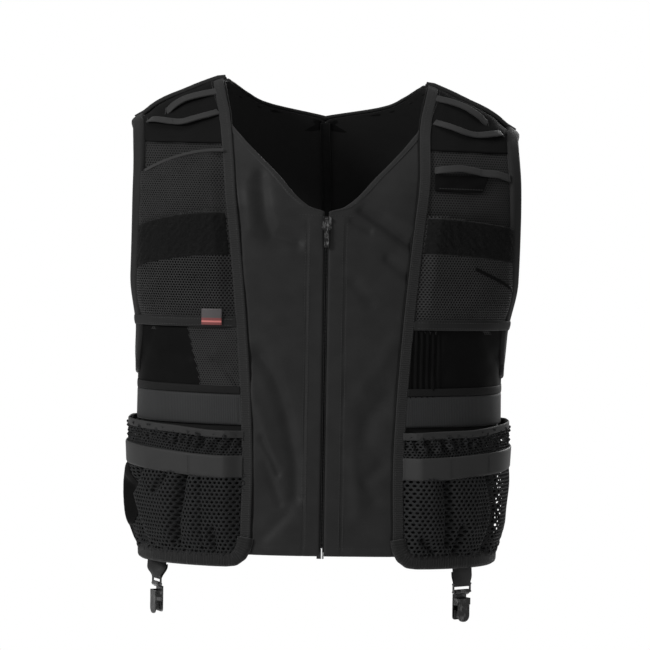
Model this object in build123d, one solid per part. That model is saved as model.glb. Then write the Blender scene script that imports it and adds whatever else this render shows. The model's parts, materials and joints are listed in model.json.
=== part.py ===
"""Load-carrying safety vest, as worn: a shell around the torso, built from sewn panels, webbing, a zip and clips.

Row frame: +X is the wearer's left, +Y the wearer's back, +Z up. The origin lies between the two shoulder straps,
where a hanger or the wearer's shoulders carry the vest. Heights in this script are counted up from the hem plane and
are moved down by HANG_Z on export. All sizes are in millimetres.
"""
from build123d import *
from math import cos, pi, sin, sqrt
import os

# ---------------------------------------------------------------- driving dimensions
HANG_Z = 500.0            # the origin's height above the hem plane
ROUNDNESS = 2.5           # exponent of the superellipse that every horizontal torso section follows
SECTION_STEPS = 12        # spline steps round a quarter of a section

# Outer face of the panels: (height, half-width), (height, depth in front), (height, depth behind).
HALF_WIDTH = [(-20, 183), (60, 186), (150, 190), (200, 190), (250, 197), (300, 212), (350, 221), (400, 224),
              (425, 221), (440, 215), (452, 206), (458, 200), (466, 188), (474, 178), (481, 166), (489, 148),
              (497, 130), (506, 107), (520, 68)]
DEPTH_FRONT = [(-20, 118), (370, 118), (385, 115), (400, 108), (420, 95), (440, 78), (452, 66), (466, 54),
               (481, 43), (497, 33), (506, 28), (520, 19)]
DEPTH_BACK = [(-20, 96), (60, 90), (120, 92), (200, 101), (300, 110), (370, 112), (400, 108), (420, 100),
              (440, 88), (452, 78), (466, 66), (481, 55), (497, 43), (506, 36), (520, 25)]
SECTION_HEIGHTS = [-20, 6, 12, 21, 32, 50, 75, 100, 112, 124, 134, 142, 155, 186, 220, 250, 280, 310, 340, 370, 390,
                   408, 424, 438, 450, 461, 472, 483, 494, 506, 518]

CLOTH = 2.0               # laminated panel cloth
GAP = 0.3                 # between cloth layers that lie on each other
WEB = 1.8                 # webbing and tape
HEM_Z = 6.0               # lower edge of the mesh panels
FRONT_HEM_Z = 16.0        # lower edge of the plain front panels
NECK_V_Z = 369.0          # lowest point of the V neck
STRAP_IN = (107.0, 506.0)     # inner end of the shoulder seam: x, height
JOIN = (98.0, 458.0)          # where the front panel runs out into the strap's inner edge
# The armhole's edge seen from the front: x at a height. It ends below where it meets the torso's side.
ARM_EDGE = [(198.0, 560.0), (198.0, 300.0), (190.0, 240.0), (190.0, 200.0)]
TAPE_W = 11.0             # the stitched tape down each mesh panel's inner edge
BINDING_W = 9.0           # armhole, hem and neck binding
BACK_STRIP = 26.0         # half the width of the middle of the back, between the two fold lines
FOLD_GAP = 0.3            # half the gap at each fold line

WAIST_WEB = (155.0, 186.0)        # heights of the wide waist webbing
CARGO = (12.0, 147.0)             # heights of the cargo pocket
CARGO_X, CARGO_Y = 85.0, 30.0     # its front edge, and how far it runs round behind the side
CARGO_BULGE = [(8, 3), (25, 9), (50, 14), (80, 15), (110, 14), (124, 11), (135, 10), (150, 12)]
CARGO_WEB = (100.0, 124.0)
CARGO_BINDING = (139.5, 147.0)
CHEST_OFF = 9.0                   # how far the chest pocket stands off the panel
POCKET_WALL = 1.4

ZIP_FROM, ZIP_TO = 24.0, 351.0    # the toothed length
TOOTH_PITCH = 4.0
TOOTH = (2.4, 2.2, 2.2)           # a tooth across, through and along the chain
CHAIN_X = 0.6                     # half the gap between the two rows
SLOT = 2.2                        # half the gap between the front panels
SLIDER = (10.0, 14.0)             # the slider's width and height
SLIDER_Z = 357.0                  # its middle when the zip is closed
PULL = (5.0, 1.2, 29.0)           # the pull tab

CHEST_POCKET = (259.0, 364.0)     # heights of the chest pocket
CHEST_BAND = (249.0, 258.5)       # the flat band below it
PATCH = (309.0, 362.0)            # the hook-and-loop patch on it
CHEST_SLOPE = 0.22                # how fast the pocket's lines fall towards the arm
LOOP_IN, LOOP_OUT = 9.6, 11.4     # the slack webbing loops stand this far off the panel
LOOP_WALL = 2.0

STRAP_W = 20.0                    # belt strap
STRAP_T = 3.0                     # folded double
STRAP_X = {"left": 146.0, "right": 172.0}     # where each strap leaves the hem, measured across
STRAP_PIVOT = 3.0                 # the strap bends this far below the hem
STRAP_DROP = 20.0                 # from the hem to the ring's upper bar
RING_WIRE = 1.1                   # radius of the ring's wire
RING_HEIGHT = 8.0                 # between the middles of its two long bars
CLIP_SHIFT = 3.4                  # the clip's plate lies this far behind the ring, so that it hangs upright


def curve(table, z):
    """Monotone cubic through a table of (z, value), and its slope."""
    if z <= table[0][0]:
        return table[0][1], 0.0
    if z >= table[-1][0]:
        (z0, v0), (z1, v1) = table[-2:]
        slope = (v1 - v0) / (z1 - z0)
        return v1 + slope * (z - z1), slope
    chords = [(b[1] - a[1]) / (b[0] - a[0]) for a, b in zip(table, table[1:])]
    i = next(k for k in range(len(chords)) if z <= table[k + 1][0])

    def tangent(k):
        if k == 0 or k == len(chords):
            return chords[min(k, len(chords) - 1)]
        a, b = chords[k - 1], chords[k]
        return 0.0 if a * b <= 0 else 2 * a * b / (a + b)

    (z0, v0), (z1, v1) = table[i], table[i + 1]
    h, t = z1 - z0, (z - z0) / (z1 - z0)
    m0, m1 = tangent(i) * h, tangent(i + 1) * h
    value = (2 * t**3 - 3 * t**2 + 1) * v0 + (t**3 - 2 * t**2 + t) * m0
    value += (3 * t**2 - 2 * t**3) * v1 + (t**3 - t**2) * m1
    slope = ((6 * t**2 - 6 * t) * (v0 - v1) + (3 * t**2 - 4 * t + 1) * m0 + (3 * t**2 - 2 * t) * m1) / h
    return value, slope


def half_sizes(z, off):
    """Half-width, depth in front and depth behind at a height, off mm outside the panels' outer face."""
    sizes = []
    for table in (HALF_WIDTH, DEPTH_FRONT, DEPTH_BACK):
        value, slope = curve(table, z)
        sizes.append(value + off * sqrt(1 + slope * slope))
    return sizes


def half_section(z, off):
    """The torso section at a height on the wearer's left, closed along the middle plane."""
    a, front, back = half_sizes(z, off)
    points = []
    for k in range(-SECTION_STEPS, SECTION_STEPS + 1):
        t = 0.5 * pi * k / SECTION_STEPS
        x = a * max(0.0, cos(t)) ** (2 / ROUNDNESS)
        y = (back if k > 0 else -front) * abs(sin(t)) ** (2 / ROUNDNESS)
        points.append(Vector(0.0 if abs(k) == SECTION_STEPS else x, y, z))
    side = Edge.make_spline(points, tangents=[Vector(1, 0, 0), Vector(-1, 0, 0)])
    return Wire([side, Edge.make_line(points[-1], points[0])])


def front_depth(x, z, off=0.0):
    """Depth of the front face at a place across and a height."""
    a, front, _ = half_sizes(z, off)
    return front * max(0.0, 1 - abs(x / a) ** ROUNDNESS) ** (1 / ROUNDNESS)


def torso(off, low=-20, high=518):
    """The left half of the torso, off mm larger all round; off may be a function of the height."""
    amount = off if callable(off) else (lambda z: off)
    return Solid.make_loft([half_section(z, amount(z)) for z in SECTION_HEIGHTS if low <= z <= high], ruled=True)


def layer(inner, outer, low=-20, high=518):
    return torso(outer, low, high) - torso(inner, low, high)


def block(x0, x1, y0, y1, z0, z1):
    return Pos((x0 + x1) / 2, (y0 + y1) / 2, (z0 + z1) / 2) * Box(x1 - x0, y1 - y0, z1 - z0)


def seen_from_front(outline, y0=-220.0, y1=0.0):
    """The prism along Y of a closed outline of edges drawn in the plane y = y0."""
    face = Face(Wire(outline))
    return Solid.extrude(face, Vector(0, y1 - y0, 0))


def line(a, b, y=-220.0):
    return Edge.make_line((a[0], y, a[1]), (b[0], y, b[1]))


def bend(points, y=-220.0):
    return Edge.make_spline([Vector(x, y, z) for x, z in points])


def ring_of(points, y=-220.0):
    """Straight edges round a list of (x, height) corners."""
    return [line(a, b, y) for a, b in zip(points, points[1:] + points[:1])]


# ---------------------------------------------------------------- outlines on the wearer's left, seen from the front
SEAM = [(98.0, 458.0), (94.5, 400.0), (88.5, 345.0), (79.0, 243.0), (73.5, 161.0), (71.5, 100.0), (72.5, 46.0)]


def shifted(points, dx):
    return [(x + dx, z) for x, z in points]


def front_panel_region():
    neck = bend([(SLOT, NECK_V_Z), (18.0, 374.0), (52.0, 408.0), (80.0, 437.0), JOIN])
    foot = (SEAM[-1][0], FRONT_HEM_Z)
    return seen_from_front([neck, bend(SEAM), line(SEAM[-1], foot), line(foot, (SLOT, FRONT_HEM_Z)),
                            line((SLOT, FRONT_HEM_Z), (SLOT, NECK_V_Z))])


def inner_edge(dx, top=530.0):
    """Edges from above the shoulder down the strap's inner edge and the seam, moved dx outwards."""
    end = shifted(SEAM, dx)[-1]
    corner = 18.0
    foot = (end[0] + corner, HEM_Z)
    above = (STRAP_IN[0] + dx + 4.0, top)
    peak, join = (STRAP_IN[0] + dx, STRAP_IN[1]), (JOIN[0] + dx, JOIN[1])
    toe = bend([end, (end[0] + 2.5, HEM_Z + 13.0), (end[0] + 8.0, HEM_Z + 4.0), foot])
    return [line(above, peak), line(peak, join), bend(shifted(SEAM, dx)), toe], above, foot


def outside_inner_edge(dx, y1=0.0):
    """Everything in front of y1 that lies outside the seam and above the hem."""
    edges, above, foot = inner_edge(dx)
    far = 260.0
    rest = [line(foot, (far, HEM_Z)), line((far, HEM_Z), (far, above[1])), line((far, above[1]), above)]
    return seen_from_front(edges + rest, y1=y1)


def armhole(grow=0.0):
    """The space of one armhole; low down the torso's side runs nearly along Y, so there a strip looks narrower."""
    foreshortening = [1.0, 1.0, 0.4, 0.4]
    edge = [(x - grow * f, z) for (x, z), f in zip(ARM_EDGE, foreshortening)]
    low = ARM_EDGE[-1][1] - grow
    edge[-1] = (edge[-1][0], low)
    return seen_from_front(ring_of(edge + [(300.0, low), (300.0, 560.0)]), y1=220.0)


def back_neck():
    """The space above the back's neckline."""
    inner, high = STRAP_IN
    points = [(-inner, high), (-70.0, high - 22), (0.0, high - 36), (70.0, high - 22), (inner, high)]
    above = 540.0
    edges = [bend(points, 0.0), line(points[-1], (inner, above), 0.0), line((inner, above), (-inner, above), 0.0),
             line((-inner, above), points[0], 0.0)]
    return Solid.extrude(Face(Wire(edges)), Vector(0, 220, 0))


parts = {}


def keep(name, shape):
    """Stores one node."""
    parts[name] = shape


def keep_pair(name, shape):
    """Stores a node of the wearer's left and its mirror image on the wearer's right."""
    parts[name + "_left"] = shape
    parts[name + "_right"] = mirror(shape, about=Plane.YZ)


def both_halves(shape):
    return shape + mirror(shape, about=Plane.YZ)


def box_at(size, centre):
    return Pos(*centre) * Box(*size)


def rod(radius, length, centre):
    """A cylinder along X."""
    return Pos(*centre) * Rot(0, 90, 0) * Cylinder(radius, length)


def slanted(x0, x1, low, high, slope):
    """The prism seen from the front between two parallel lines; low and high are the heights at x0."""
    drop = slope * (x1 - x0)
    return seen_from_front(ring_of([(x0, low), (x1, low - drop), (x1, high - drop), (x0, high)]))


# ---------------------------------------------------------------- panels
def make_panels():
    panel_layer = layer(-CLOTH, 0.0)
    arm = armhole()
    side_of_back = block(BACK_STRIP + FOLD_GAP, 260, 0.0, 220, HEM_Z, 560)
    middle_of_back = block(0, BACK_STRIP - FOLD_GAP, 0, 220, HEM_Z, 560)
    neck = back_neck()
    keep_pair("front_panel", panel_layer & front_panel_region())
    keep_pair("mesh_panel", (panel_layer & outside_inner_edge(GAP)) - arm)
    keep_pair("back_mesh", ((panel_layer & side_of_back) - arm) - neck)
    keep("back_mesh_middle", both_halves((panel_layer & middle_of_back) - neck))


# ---------------------------------------------------------------- tapes and webbing that lie flat on the panels
def make_flat_layer():
    flat = layer(GAP, GAP + WEB)
    arm = armhole()
    wide_arm = armhole(BINDING_W + GAP)
    inside_tape = outside_inner_edge(TAPE_W + GAP)
    keep_pair("edge_tape", (flat & outside_inner_edge(GAP)) - inside_tape - arm)
    keep_pair("armhole_binding", (flat & armhole(BINDING_W)) - arm - back_neck())
    round_the_side = inside_tape + block(BACK_STRIP + FOLD_GAP, 260, 0, 220, HEM_Z, 560)
    keep_pair("hem_binding", flat & round_the_side & block(0, 260, -220, 220, HEM_Z, CARGO[0] - GAP))
    keep_pair("waist_webbing", (flat & inside_tape & block(0, 260, -220, 0, *WAIST_WEB)) - wide_arm)
    field = (flat & inside_tape) - wide_arm
    keep_pair("chest_band", field & block(0, 260, -220, 0, *CHEST_BAND))
    keep_pair("belly_panel", field & block(0, 260, -220, 0, WAIST_WEB[1] + GAP, CHEST_BAND[0] - GAP))
    keep_pair("shoulder_pad", ((flat & (inside_tape + block(STRAP_IN[0] + TAPE_W, 260, 0, 220, 446, 560)))
                               & block(0, 260, -220, 220, 436, 560)) - wide_arm)
    keep("id_panel_right", mirror(field & slanted(96, 200, 368, 428, CHEST_SLOPE), about=Plane.YZ))
    keep("radio_flap_left", field & block(108, 172, -220, 0, 376, 398))


# ---------------------------------------------------------------- pouches
def pouch(outer, inner, region, inside, low, high):
    """A hollow bag sewn to the panel round its edges; inside is the region shrunk by the wall and open on top."""
    return (torso(outer, low, high) & region) - torso(GAP, low, high) - (torso(inner, low, high) & inside)


def make_chest():
    low, high = 250, 390
    seam_side = outside_inner_edge(TAPE_W + 1.0)
    wide_arm = armhole(BINDING_W + 1.0)
    region = (seam_side & slanted(80, 220, CHEST_POCKET[0], CHEST_POCKET[1] + 6, 0.0)
              & slanted(80, 220, 200, CHEST_POCKET[1], CHEST_SLOPE)) - wide_arm
    above_floor = slanted(80, 220, CHEST_POCKET[0] + POCKET_WALL, 400, 0.0)
    inside = (outside_inner_edge(TAPE_W + 1.0 + POCKET_WALL) & above_floor) - armhole(BINDING_W + 1.0 + POCKET_WALL)
    keep_pair("chest_pocket", pouch(CHEST_OFF, CHEST_OFF - POCKET_WALL, region, inside, low, high))
    patch_layer = layer(CHEST_OFF + GAP, CHEST_OFF + GAP + 1.6, low, high)
    patch_region = outside_inner_edge(TAPE_W + 3.0) & slanted(80, 220, *PATCH, CHEST_SLOPE)
    patch_region -= armhole(BINDING_W + 3.0)
    keep_pair("hook_loop_patch", patch_layer & patch_region)


def cargo_offset(extra):
    return lambda z: curve(CARGO_BULGE, z)[0] + extra


def make_cargo():
    low, high = 6, 155
    region = block(CARGO_X, 300, -220, CARGO_Y, *CARGO) & outside_inner_edge(TAPE_W + GAP, CARGO_Y)
    inside = (block(CARGO_X + POCKET_WALL, 300, -220, CARGO_Y - POCKET_WALL, CARGO[0] + POCKET_WALL, 160)
              & outside_inner_edge(TAPE_W + GAP + POCKET_WALL, CARGO_Y))
    keep_pair("cargo_net", pouch(cargo_offset(0.0), cargo_offset(-POCKET_WALL), region, inside, low, high))
    over = layer(cargo_offset(GAP), cargo_offset(GAP + WEB), low, high)
    keep_pair("cargo_webbing", over & block(CARGO_X, 300, -220, CARGO_Y, *CARGO_WEB))
    keep_pair("cargo_elastic", over & block(CARGO_X, 300, -220, CARGO_Y, *CARGO_BINDING))


# ---------------------------------------------------------------- slack loops across the shoulder strap
def standing_band(x0, x1, low, high, slope):
    """A webbing loop: a bridge that stands off the strap, with a wall at each end where it is sewn down."""
    over = slanted(x0, x1, low, high, slope)
    under = slanted(x0 + LOOP_WALL, x1 - LOOP_WALL, low - slope * LOOP_WALL - 5, high - slope * LOOP_WALL + 5, slope)
    base = 2 * GAP + WEB
    return (torso(LOOP_OUT, 370) & over) - torso(base, 370) - (torso(LOOP_IN, 370) & under)


def make_shoulder_loops():
    keep_pair("shoulder_loop_front", standing_band(119, 186, 465, 474, 0.42))
    keep_pair("shoulder_loop_top", standing_band(119, 180, 484, 491, 0.50))
    keep("radio_loop_left", standing_band(112, 184, 400, 409, 0.04))


# ---------------------------------------------------------------- zip
def make_zip():
    back_face = DEPTH_FRONT[0][1] - CLOTH
    tape_y = -(back_face - GAP)
    tape_t = 1.0
    teeth_y = tape_y + tape_t + TOOTH[1] / 2
    keep_pair("zip_tape", block(CHAIN_X + 0.4, 14.0, tape_y, tape_y + tape_t, FRONT_HEM_Z, ZIP_TO + 6))
    count = int((ZIP_TO - ZIP_FROM) / TOOTH_PITCH)
    row = [box_at(TOOTH, (CHAIN_X + TOOTH[0] / 2, teeth_y, ZIP_FROM + (k + 0.5) * TOOTH_PITCH)) for k in range(count)]
    stop = box_at((TOOTH[0], TOOTH[1], 4.0), (CHAIN_X + TOOTH[0] / 2, teeth_y, ZIP_TO + 3))
    keep_pair("zip_teeth", Compound(row + [stop]))
    keep("zip_box_right", block(-5.0, -0.4, tape_y + tape_t, tape_y + tape_t + 3.0, FRONT_HEM_Z - 3, ZIP_FROM - 1))
    keep("zip_pin_left", block(0.4, 2.4, tape_y + tape_t, tape_y + tape_t + 2.2, FRONT_HEM_Z - 3, ZIP_FROM + 0.6))

    front = -(DEPTH_FRONT[0][1] + 1.2)
    behind = tape_y + tape_t + TOOTH[1] + 0.5
    half, tall = SLIDER[0] / 2, SLIDER[1]
    low, high = SLIDER_Z - tall / 2, SLIDER_Z + tall / 2
    shield = fillet(box_at((SLIDER[0], 2.0, tall), (0, front - 1.0, SLIDER_Z)).edges().filter_by(Axis.Y), 2.5)
    back_plate = block(-half, 3.2, behind, behind + 1.1, low, high)
    web = block(-0.3, 0.3, front - 0.5, behind + 0.5, SLIDER_Z, high - 1.5)
    lip = block(-half, -half + 0.9, tape_y + tape_t + 0.5, behind + 0.5, low, high)
    pivot_y, pivot_z = front - 3.7, SLIDER_Z + 4.0
    ears = [block(x - 0.5, x + 0.5, pivot_y - 1.4, front - 1.0, pivot_z - 1.8, pivot_z + 1.8) for x in (-2.4, 2.4)]
    pin = rod(0.6, 4.8, (0, pivot_y, pivot_z))
    keep("zip_slider", shield + back_plate + web + lip + ears[0] + ears[1] + pin)
    knuckle = rod(1.5, 3.0, (0, pivot_y, pivot_z))
    width, thick, length = PULL
    blade = block(-width / 2, width / 2, pivot_y - thick / 2, pivot_y + thick / 2, pivot_z - length, pivot_z - 5)
    blade = fillet(blade.edges().filter_by(Axis.Y), 1.6)
    neck = block(-1.5, 1.5, pivot_y - thick / 2, pivot_y + thick / 2, pivot_z - 6, pivot_z - 1)
    keep("zip_pull", (knuckle + blade + neck) - rod(0.68, 8, (0, pivot_y, pivot_z)))


# ---------------------------------------------------------------- belt straps and clips
def strap_frame(side):
    """Plane at the top of a strap: x along the hem, y inwards, z up."""
    x = STRAP_X[side]
    a, front, _ = half_sizes(HEM_Z, -CLOTH - GAP - STRAP_T / 2)
    y = front * (1 - (x / a) ** ROUNDNESS) ** (1 / ROUNDNESS)
    nx = (x / a) ** (ROUNDNESS - 1) / a
    ny = (y / front) ** (ROUNDNESS - 1) / front
    size = sqrt(nx * nx + ny * ny)
    sign = 1 if side == "left" else -1
    return Plane(origin=(sign * x, -y, HEM_Z - GAP), x_dir=(ny / size, sign * nx / size, 0), z_dir=(0, 0, 1))


def clip_pieces():
    """A strap, its ring and a suspender clip in the strap's own frame: x along the hem, y inwards, z up."""
    ring_z = -STRAP_DROP
    top = ring_z - RING_HEIGHT
    strap = block(-STRAP_W / 2, STRAP_W / 2, -STRAP_T / 2, STRAP_T / 2, ring_z, -1.0)
    strap += rod(3.0, STRAP_W, (0, 0, ring_z))
    strap -= rod(RING_WIRE + 0.4, STRAP_W + 2, (0, 0, ring_z))

    ring_w = STRAP_W + 2.6
    bar = ring_w + 2 * RING_WIRE
    ring = rod(RING_WIRE, bar, (0, 0, ring_z)) + rod(RING_WIRE, bar, (0, 0, top))
    for x in (-ring_w / 2, ring_w / 2):
        ring += Pos(x, 0, ring_z - RING_HEIGHT / 2) * Cylinder(RING_WIRE, RING_HEIGHT)

    plate_t, ear_t, half_w = 1.2, 1.2, 9.0
    plate_y = CLIP_SHIFT
    plate = block(-half_w, half_w, plate_y - plate_t / 2, plate_y + plate_t / 2, top - 29.0, top - 2.0)
    plate = fillet(plate.edges().filter_by(Axis.Y).group_by(Axis.Z)[0], 3.0)
    shelf = block(-half_w, half_w, 0.0, plate_y + plate_t / 2, top - 3.2, top - 2.0)
    hook = rod(2.6, 2 * half_w, (0, 0, top)) - rod(RING_WIRE + 0.05, 30, (0, 0, top))
    pin_at = (0, plate_y - 5.0, top - 10.0)
    frame = plate + shelf + hook
    for x in (-half_w + ear_t / 2, half_w - ear_t / 2):
        frame += block(x - ear_t / 2, x + ear_t / 2, plate_y - 7.2, plate_y, top - 13.5, top - 6.5)
    frame -= rod(0.9, 30, pin_at)
    pad = block(-7.0, 7.0, plate_y - plate_t / 2 - 1.4, plate_y - plate_t / 2, top - 27.0, top - 19.0)
    pin = rod(0.88, 2 * half_w + 1.0, pin_at)

    face = block(-7.5, 7.5, plate_y - 7.7, plate_y - 6.3, top - 31.0, top - 7.0)
    face = fillet(face.edges().filter_by(Axis.Y).group_by(Axis.Z)[0], 6.5)
    nose = block(-6.5, 6.5, plate_y - 6.6, plate_y - 3.4, top - 27.0, top - 20.0)
    lever = (rod(2.3, 14.6, pin_at) + face + nose) - rod(0.95, 30, pin_at)
    return {"clip_strap": strap, "clip_ring": ring, "clip_frame": frame, "clip_pad": pad, "clip_pin": pin,
            "clip_lever": lever}


def make_clip(side):
    place = strap_frame(side).location
    for name, shape in clip_pieces().items():
        keep(name + "_" + side, place * shape)


def make_tag_and_loop():
    """The sewn tag below the wearer's right chest pocket, and the hanging loop behind the neck."""
    tag_layer = layer(2 * GAP + WEB, 2 * GAP + WEB + 0.8, 220, 280)
    place = block(101, 121, -220, 0, CHEST_BAND[0] + 1, CHEST_BAND[1] - 1.5)
    keep("tag_right", mirror(tag_layer & place, about=Plane.YZ))
    over = block(0, 22, 0, 220, 446, 456)
    under = block(0, 22 - LOOP_WALL, 0, 220, 440, 460)
    loop = (torso(LOOP_OUT, 424, 483) & over) - torso(GAP, 424, 483) - (torso(LOOP_IN, 424, 483) & under)
    keep("hang_loop", both_halves(loop))


make_panels()
make_flat_layer()
make_chest()
make_cargo()
make_shoulder_loops()
make_zip()
for wearer_side in ("left", "right"):
    make_clip(wearer_side)
make_tag_and_loop()

os.makedirs("parts", exist_ok=True)
for node, shape in parts.items():
    export_step(Pos(0, 0, -HANG_Z) * shape, "parts/" + node + ".step")
    print(node, [round(s.volume) for s in shape.solids()][:4], len(shape.solids()))
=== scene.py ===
"""Mesh load vest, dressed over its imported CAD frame: nylon fronts, real-hole nets, ribbed tapes,
webbing and stitching.

Working units are millimetres; heights count up from the hem plane. The torso's shape repeats the CAD
model's own tables.
"""
import json
from math import pi, radians

import bpy
from mathutils import Matrix, Vector
import numpy as np


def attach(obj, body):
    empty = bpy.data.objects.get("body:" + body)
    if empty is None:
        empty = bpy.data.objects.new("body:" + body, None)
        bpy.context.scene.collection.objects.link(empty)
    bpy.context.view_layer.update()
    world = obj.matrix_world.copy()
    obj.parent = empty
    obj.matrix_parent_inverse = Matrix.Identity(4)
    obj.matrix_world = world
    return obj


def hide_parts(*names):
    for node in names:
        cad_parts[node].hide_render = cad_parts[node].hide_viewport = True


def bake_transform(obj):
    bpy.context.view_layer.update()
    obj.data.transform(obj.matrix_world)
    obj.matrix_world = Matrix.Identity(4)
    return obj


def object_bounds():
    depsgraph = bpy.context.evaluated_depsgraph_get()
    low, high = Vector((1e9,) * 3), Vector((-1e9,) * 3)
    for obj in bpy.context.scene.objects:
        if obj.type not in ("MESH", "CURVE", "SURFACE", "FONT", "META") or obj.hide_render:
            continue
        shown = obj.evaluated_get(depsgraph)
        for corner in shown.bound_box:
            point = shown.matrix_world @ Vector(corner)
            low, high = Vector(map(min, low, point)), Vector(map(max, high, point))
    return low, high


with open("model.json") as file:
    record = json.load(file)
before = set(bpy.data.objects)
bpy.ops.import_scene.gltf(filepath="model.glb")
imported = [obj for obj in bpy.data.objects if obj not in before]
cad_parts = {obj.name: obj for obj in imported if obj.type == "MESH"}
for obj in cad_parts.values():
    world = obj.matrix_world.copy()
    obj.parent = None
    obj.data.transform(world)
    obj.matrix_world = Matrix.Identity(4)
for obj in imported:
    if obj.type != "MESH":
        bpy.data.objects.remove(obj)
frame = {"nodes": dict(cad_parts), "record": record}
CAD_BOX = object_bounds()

MM = 0.001
HANG_Z = 500.0            # the row's origin is this far above the hem plane
ROUNDNESS = 2.5
HALF_WIDTH = [(-20, 183), (60, 186), (150, 190), (200, 190), (250, 197), (300, 212), (350, 221), (400, 224),
              (425, 221), (440, 215), (452, 206), (458, 200), (466, 188), (474, 178), (481, 166), (489, 148),
              (497, 130), (506, 107), (520, 68)]
DEPTH_FRONT = [(-20, 118), (370, 118), (385, 115), (400, 108), (420, 95), (440, 78), (452, 66), (466, 54),
               (481, 43), (497, 33), (506, 28), (520, 19)]
DEPTH_BACK = [(-20, 96), (60, 90), (120, 92), (200, 101), (300, 110), (370, 112), (400, 108), (420, 100),
              (440, 88), (452, 78), (466, 66), (481, 55), (497, 43), (506, 36), (520, 25)]
SEAM = [(46, 72.5), (100, 71.5), (161, 73.5), (243, 79.0), (345, 88.5), (400, 94.5), (458, 98.0),
        (506, 107.0)]
NECK_V = [(369, 2.2), (374, 18.0), (408, 52.0), (437, 80.0), (458, 98.0)]
ARM_EDGE = [(200, 190.0), (240, 190.0), (300, 198.0), (560, 198.0)]
BACK_NECK = [(470, 0.0), (484, 70.0), (506, 107.0)]
HEM_Z, FRONT_HEM_Z, PEAK_Z = 6.0, 16.0, 506.0
ARM_LOW_Z, CREST_Z = 200.0, 459.0
TAPE_W, BINDING_W = 11.0, 9.0
SLOT = 2.2
SIDES = (("left", 1.0), ("right", -1.0))
rng = np.random.default_rng(11)


# ---------------------------------------------------------------- the torso's surface
def curve(table, z):
    """Monotone cubic through a table of (height, value), and its slope."""
    if z <= table[0][0]:
        return table[0][1], 0.0
    if z >= table[-1][0]:
        (z0, v0), (z1, v1) = table[-2:]
        slope = (v1 - v0) / (z1 - z0)
        return v1 + slope * (z - z1), slope
    chords = [(b[1] - a[1]) / (b[0] - a[0]) for a, b in zip(table, table[1:])]
    i = next(k for k in range(len(chords)) if z <= table[k + 1][0])

    def tangent(k):
        if k == 0 or k == len(chords):
            return chords[min(k, len(chords) - 1)]
        a, b = chords[k - 1], chords[k]
        return 0.0 if a * b <= 0 else 2 * a * b / (a + b)

    (z0, v0), (z1, v1) = table[i], table[i + 1]
    h, t = z1 - z0, (z - z0) / (z1 - z0)
    m0, m1 = tangent(i) * h, tangent(i + 1) * h
    value = (2 * t**3 - 3 * t**2 + 1) * v0 + (t**3 - 2 * t**2 + t) * m0
    value += (3 * t**2 - 2 * t**3) * v1 + (t**3 - t**2) * m1
    slope = ((6 * t**2 - 6 * t) * (v0 - v1) + (3 * t**2 - 4 * t + 1) * m0 + (3 * t**2 - 2 * t) * m1) / h
    return value, slope


HEIGHTS = np.arange(-20.0, 519.0)
TURNS = np.linspace(-pi / 2, pi / 2, 241)


def sampled(table):
    pairs = np.array([curve(table, z) for z in HEIGHTS])
    return pairs[:, 0], np.sqrt(1 + pairs[:, 1] ** 2)


WIDE, WIDE_K = sampled(HALF_WIDTH)
FRONT, FRONT_K = sampled(DEPTH_FRONT)
BACK, BACK_K = sampled(DEPTH_BACK)


def at_height(values, z):
    return np.interp(z, HEIGHTS, values)


def by_turn(t, z, off=0.0):
    """The point at a turn round the section, -90 degrees at the middle of the front and 0 at the side."""
    wide = at_height(WIDE, z) + off * at_height(WIDE_K, z)
    deep = np.where(t > 0, at_height(BACK, z) + off * at_height(BACK_K, z),
                    at_height(FRONT, z) + off * at_height(FRONT_K, z))
    x = wide * np.maximum(np.cos(t), 0.0) ** (2 / ROUNDNESS)
    y = np.sign(t) * deep * np.abs(np.sin(t)) ** (2 / ROUNDNESS)
    return np.stack([x, y, np.broadcast_to(z, np.shape(x))], axis=-1)


def build_arc_tables():
    t, z = np.meshgrid(TURNS, HEIGHTS)
    steps = np.linalg.norm(np.diff(by_turn(t, z), axis=1), axis=-1)
    arc = np.concatenate([np.zeros((len(HEIGHTS), 1)), np.cumsum(steps, axis=1)], axis=1)
    shares = np.linspace(0, 1, len(TURNS))
    turn_of = np.array([np.interp(shares * row[-1], row, TURNS) for row in arc])
    return arc, turn_of


ARC, TURN_OF = build_arc_tables()


def sample_table(table, row, column):
    row = np.clip(row, 0, table.shape[0] - 1.001)
    column = np.clip(column, 0, table.shape[1] - 1.001)
    r, c = row.astype(int), column.astype(int)
    fr, fc = row - r, column - c
    low = table[r, c] * (1 - fc) + table[r, c + 1] * fc
    high = table[r + 1, c] * (1 - fc) + table[r + 1, c + 1] * fc
    return low * (1 - fr) + high * fr


def arc_total(z):
    return at_height(ARC[:, -1], z)


def on(s, z, off=0.0):
    """The point s mm round the left half from the middle of the front, at a height, off mm out."""
    s, z = np.broadcast_arrays(np.asarray(s, float), np.asarray(z, float))
    t = sample_table(TURN_OF, z - HEIGHTS[0], s / arc_total(z) * (len(TURNS) - 1))
    return by_turn(t, z, off)


def arc_at_turn(t, z):
    t, z = np.broadcast_arrays(np.asarray(t, float), np.asarray(z, float))
    return sample_table(ARC, z - HEIGHTS[0], (t + pi / 2) / pi * (len(TURNS) - 1))


def arc_at_x(x, z, back=False):
    ratio = np.clip(np.asarray(x, float) / at_height(WIDE, z), 0, 1)
    t = np.arccos(ratio ** (ROUNDNESS / 2))
    return arc_at_turn(t if back else -t, z)


def table_x(table, z):
    z = np.asarray(z, float)
    flat = np.array([curve(table, v)[0] for v in z.ravel()])
    return flat.reshape(z.shape)


def normal_at(s, z):
    e = 0.6
    along = on(s + e, z) - on(s - e, z)
    up = on(s, z + e) - on(s, z - e)
    n = np.cross(along, up)
    return n / np.maximum(np.linalg.norm(n, axis=-1, keepdims=True), 1e-9)


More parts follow.
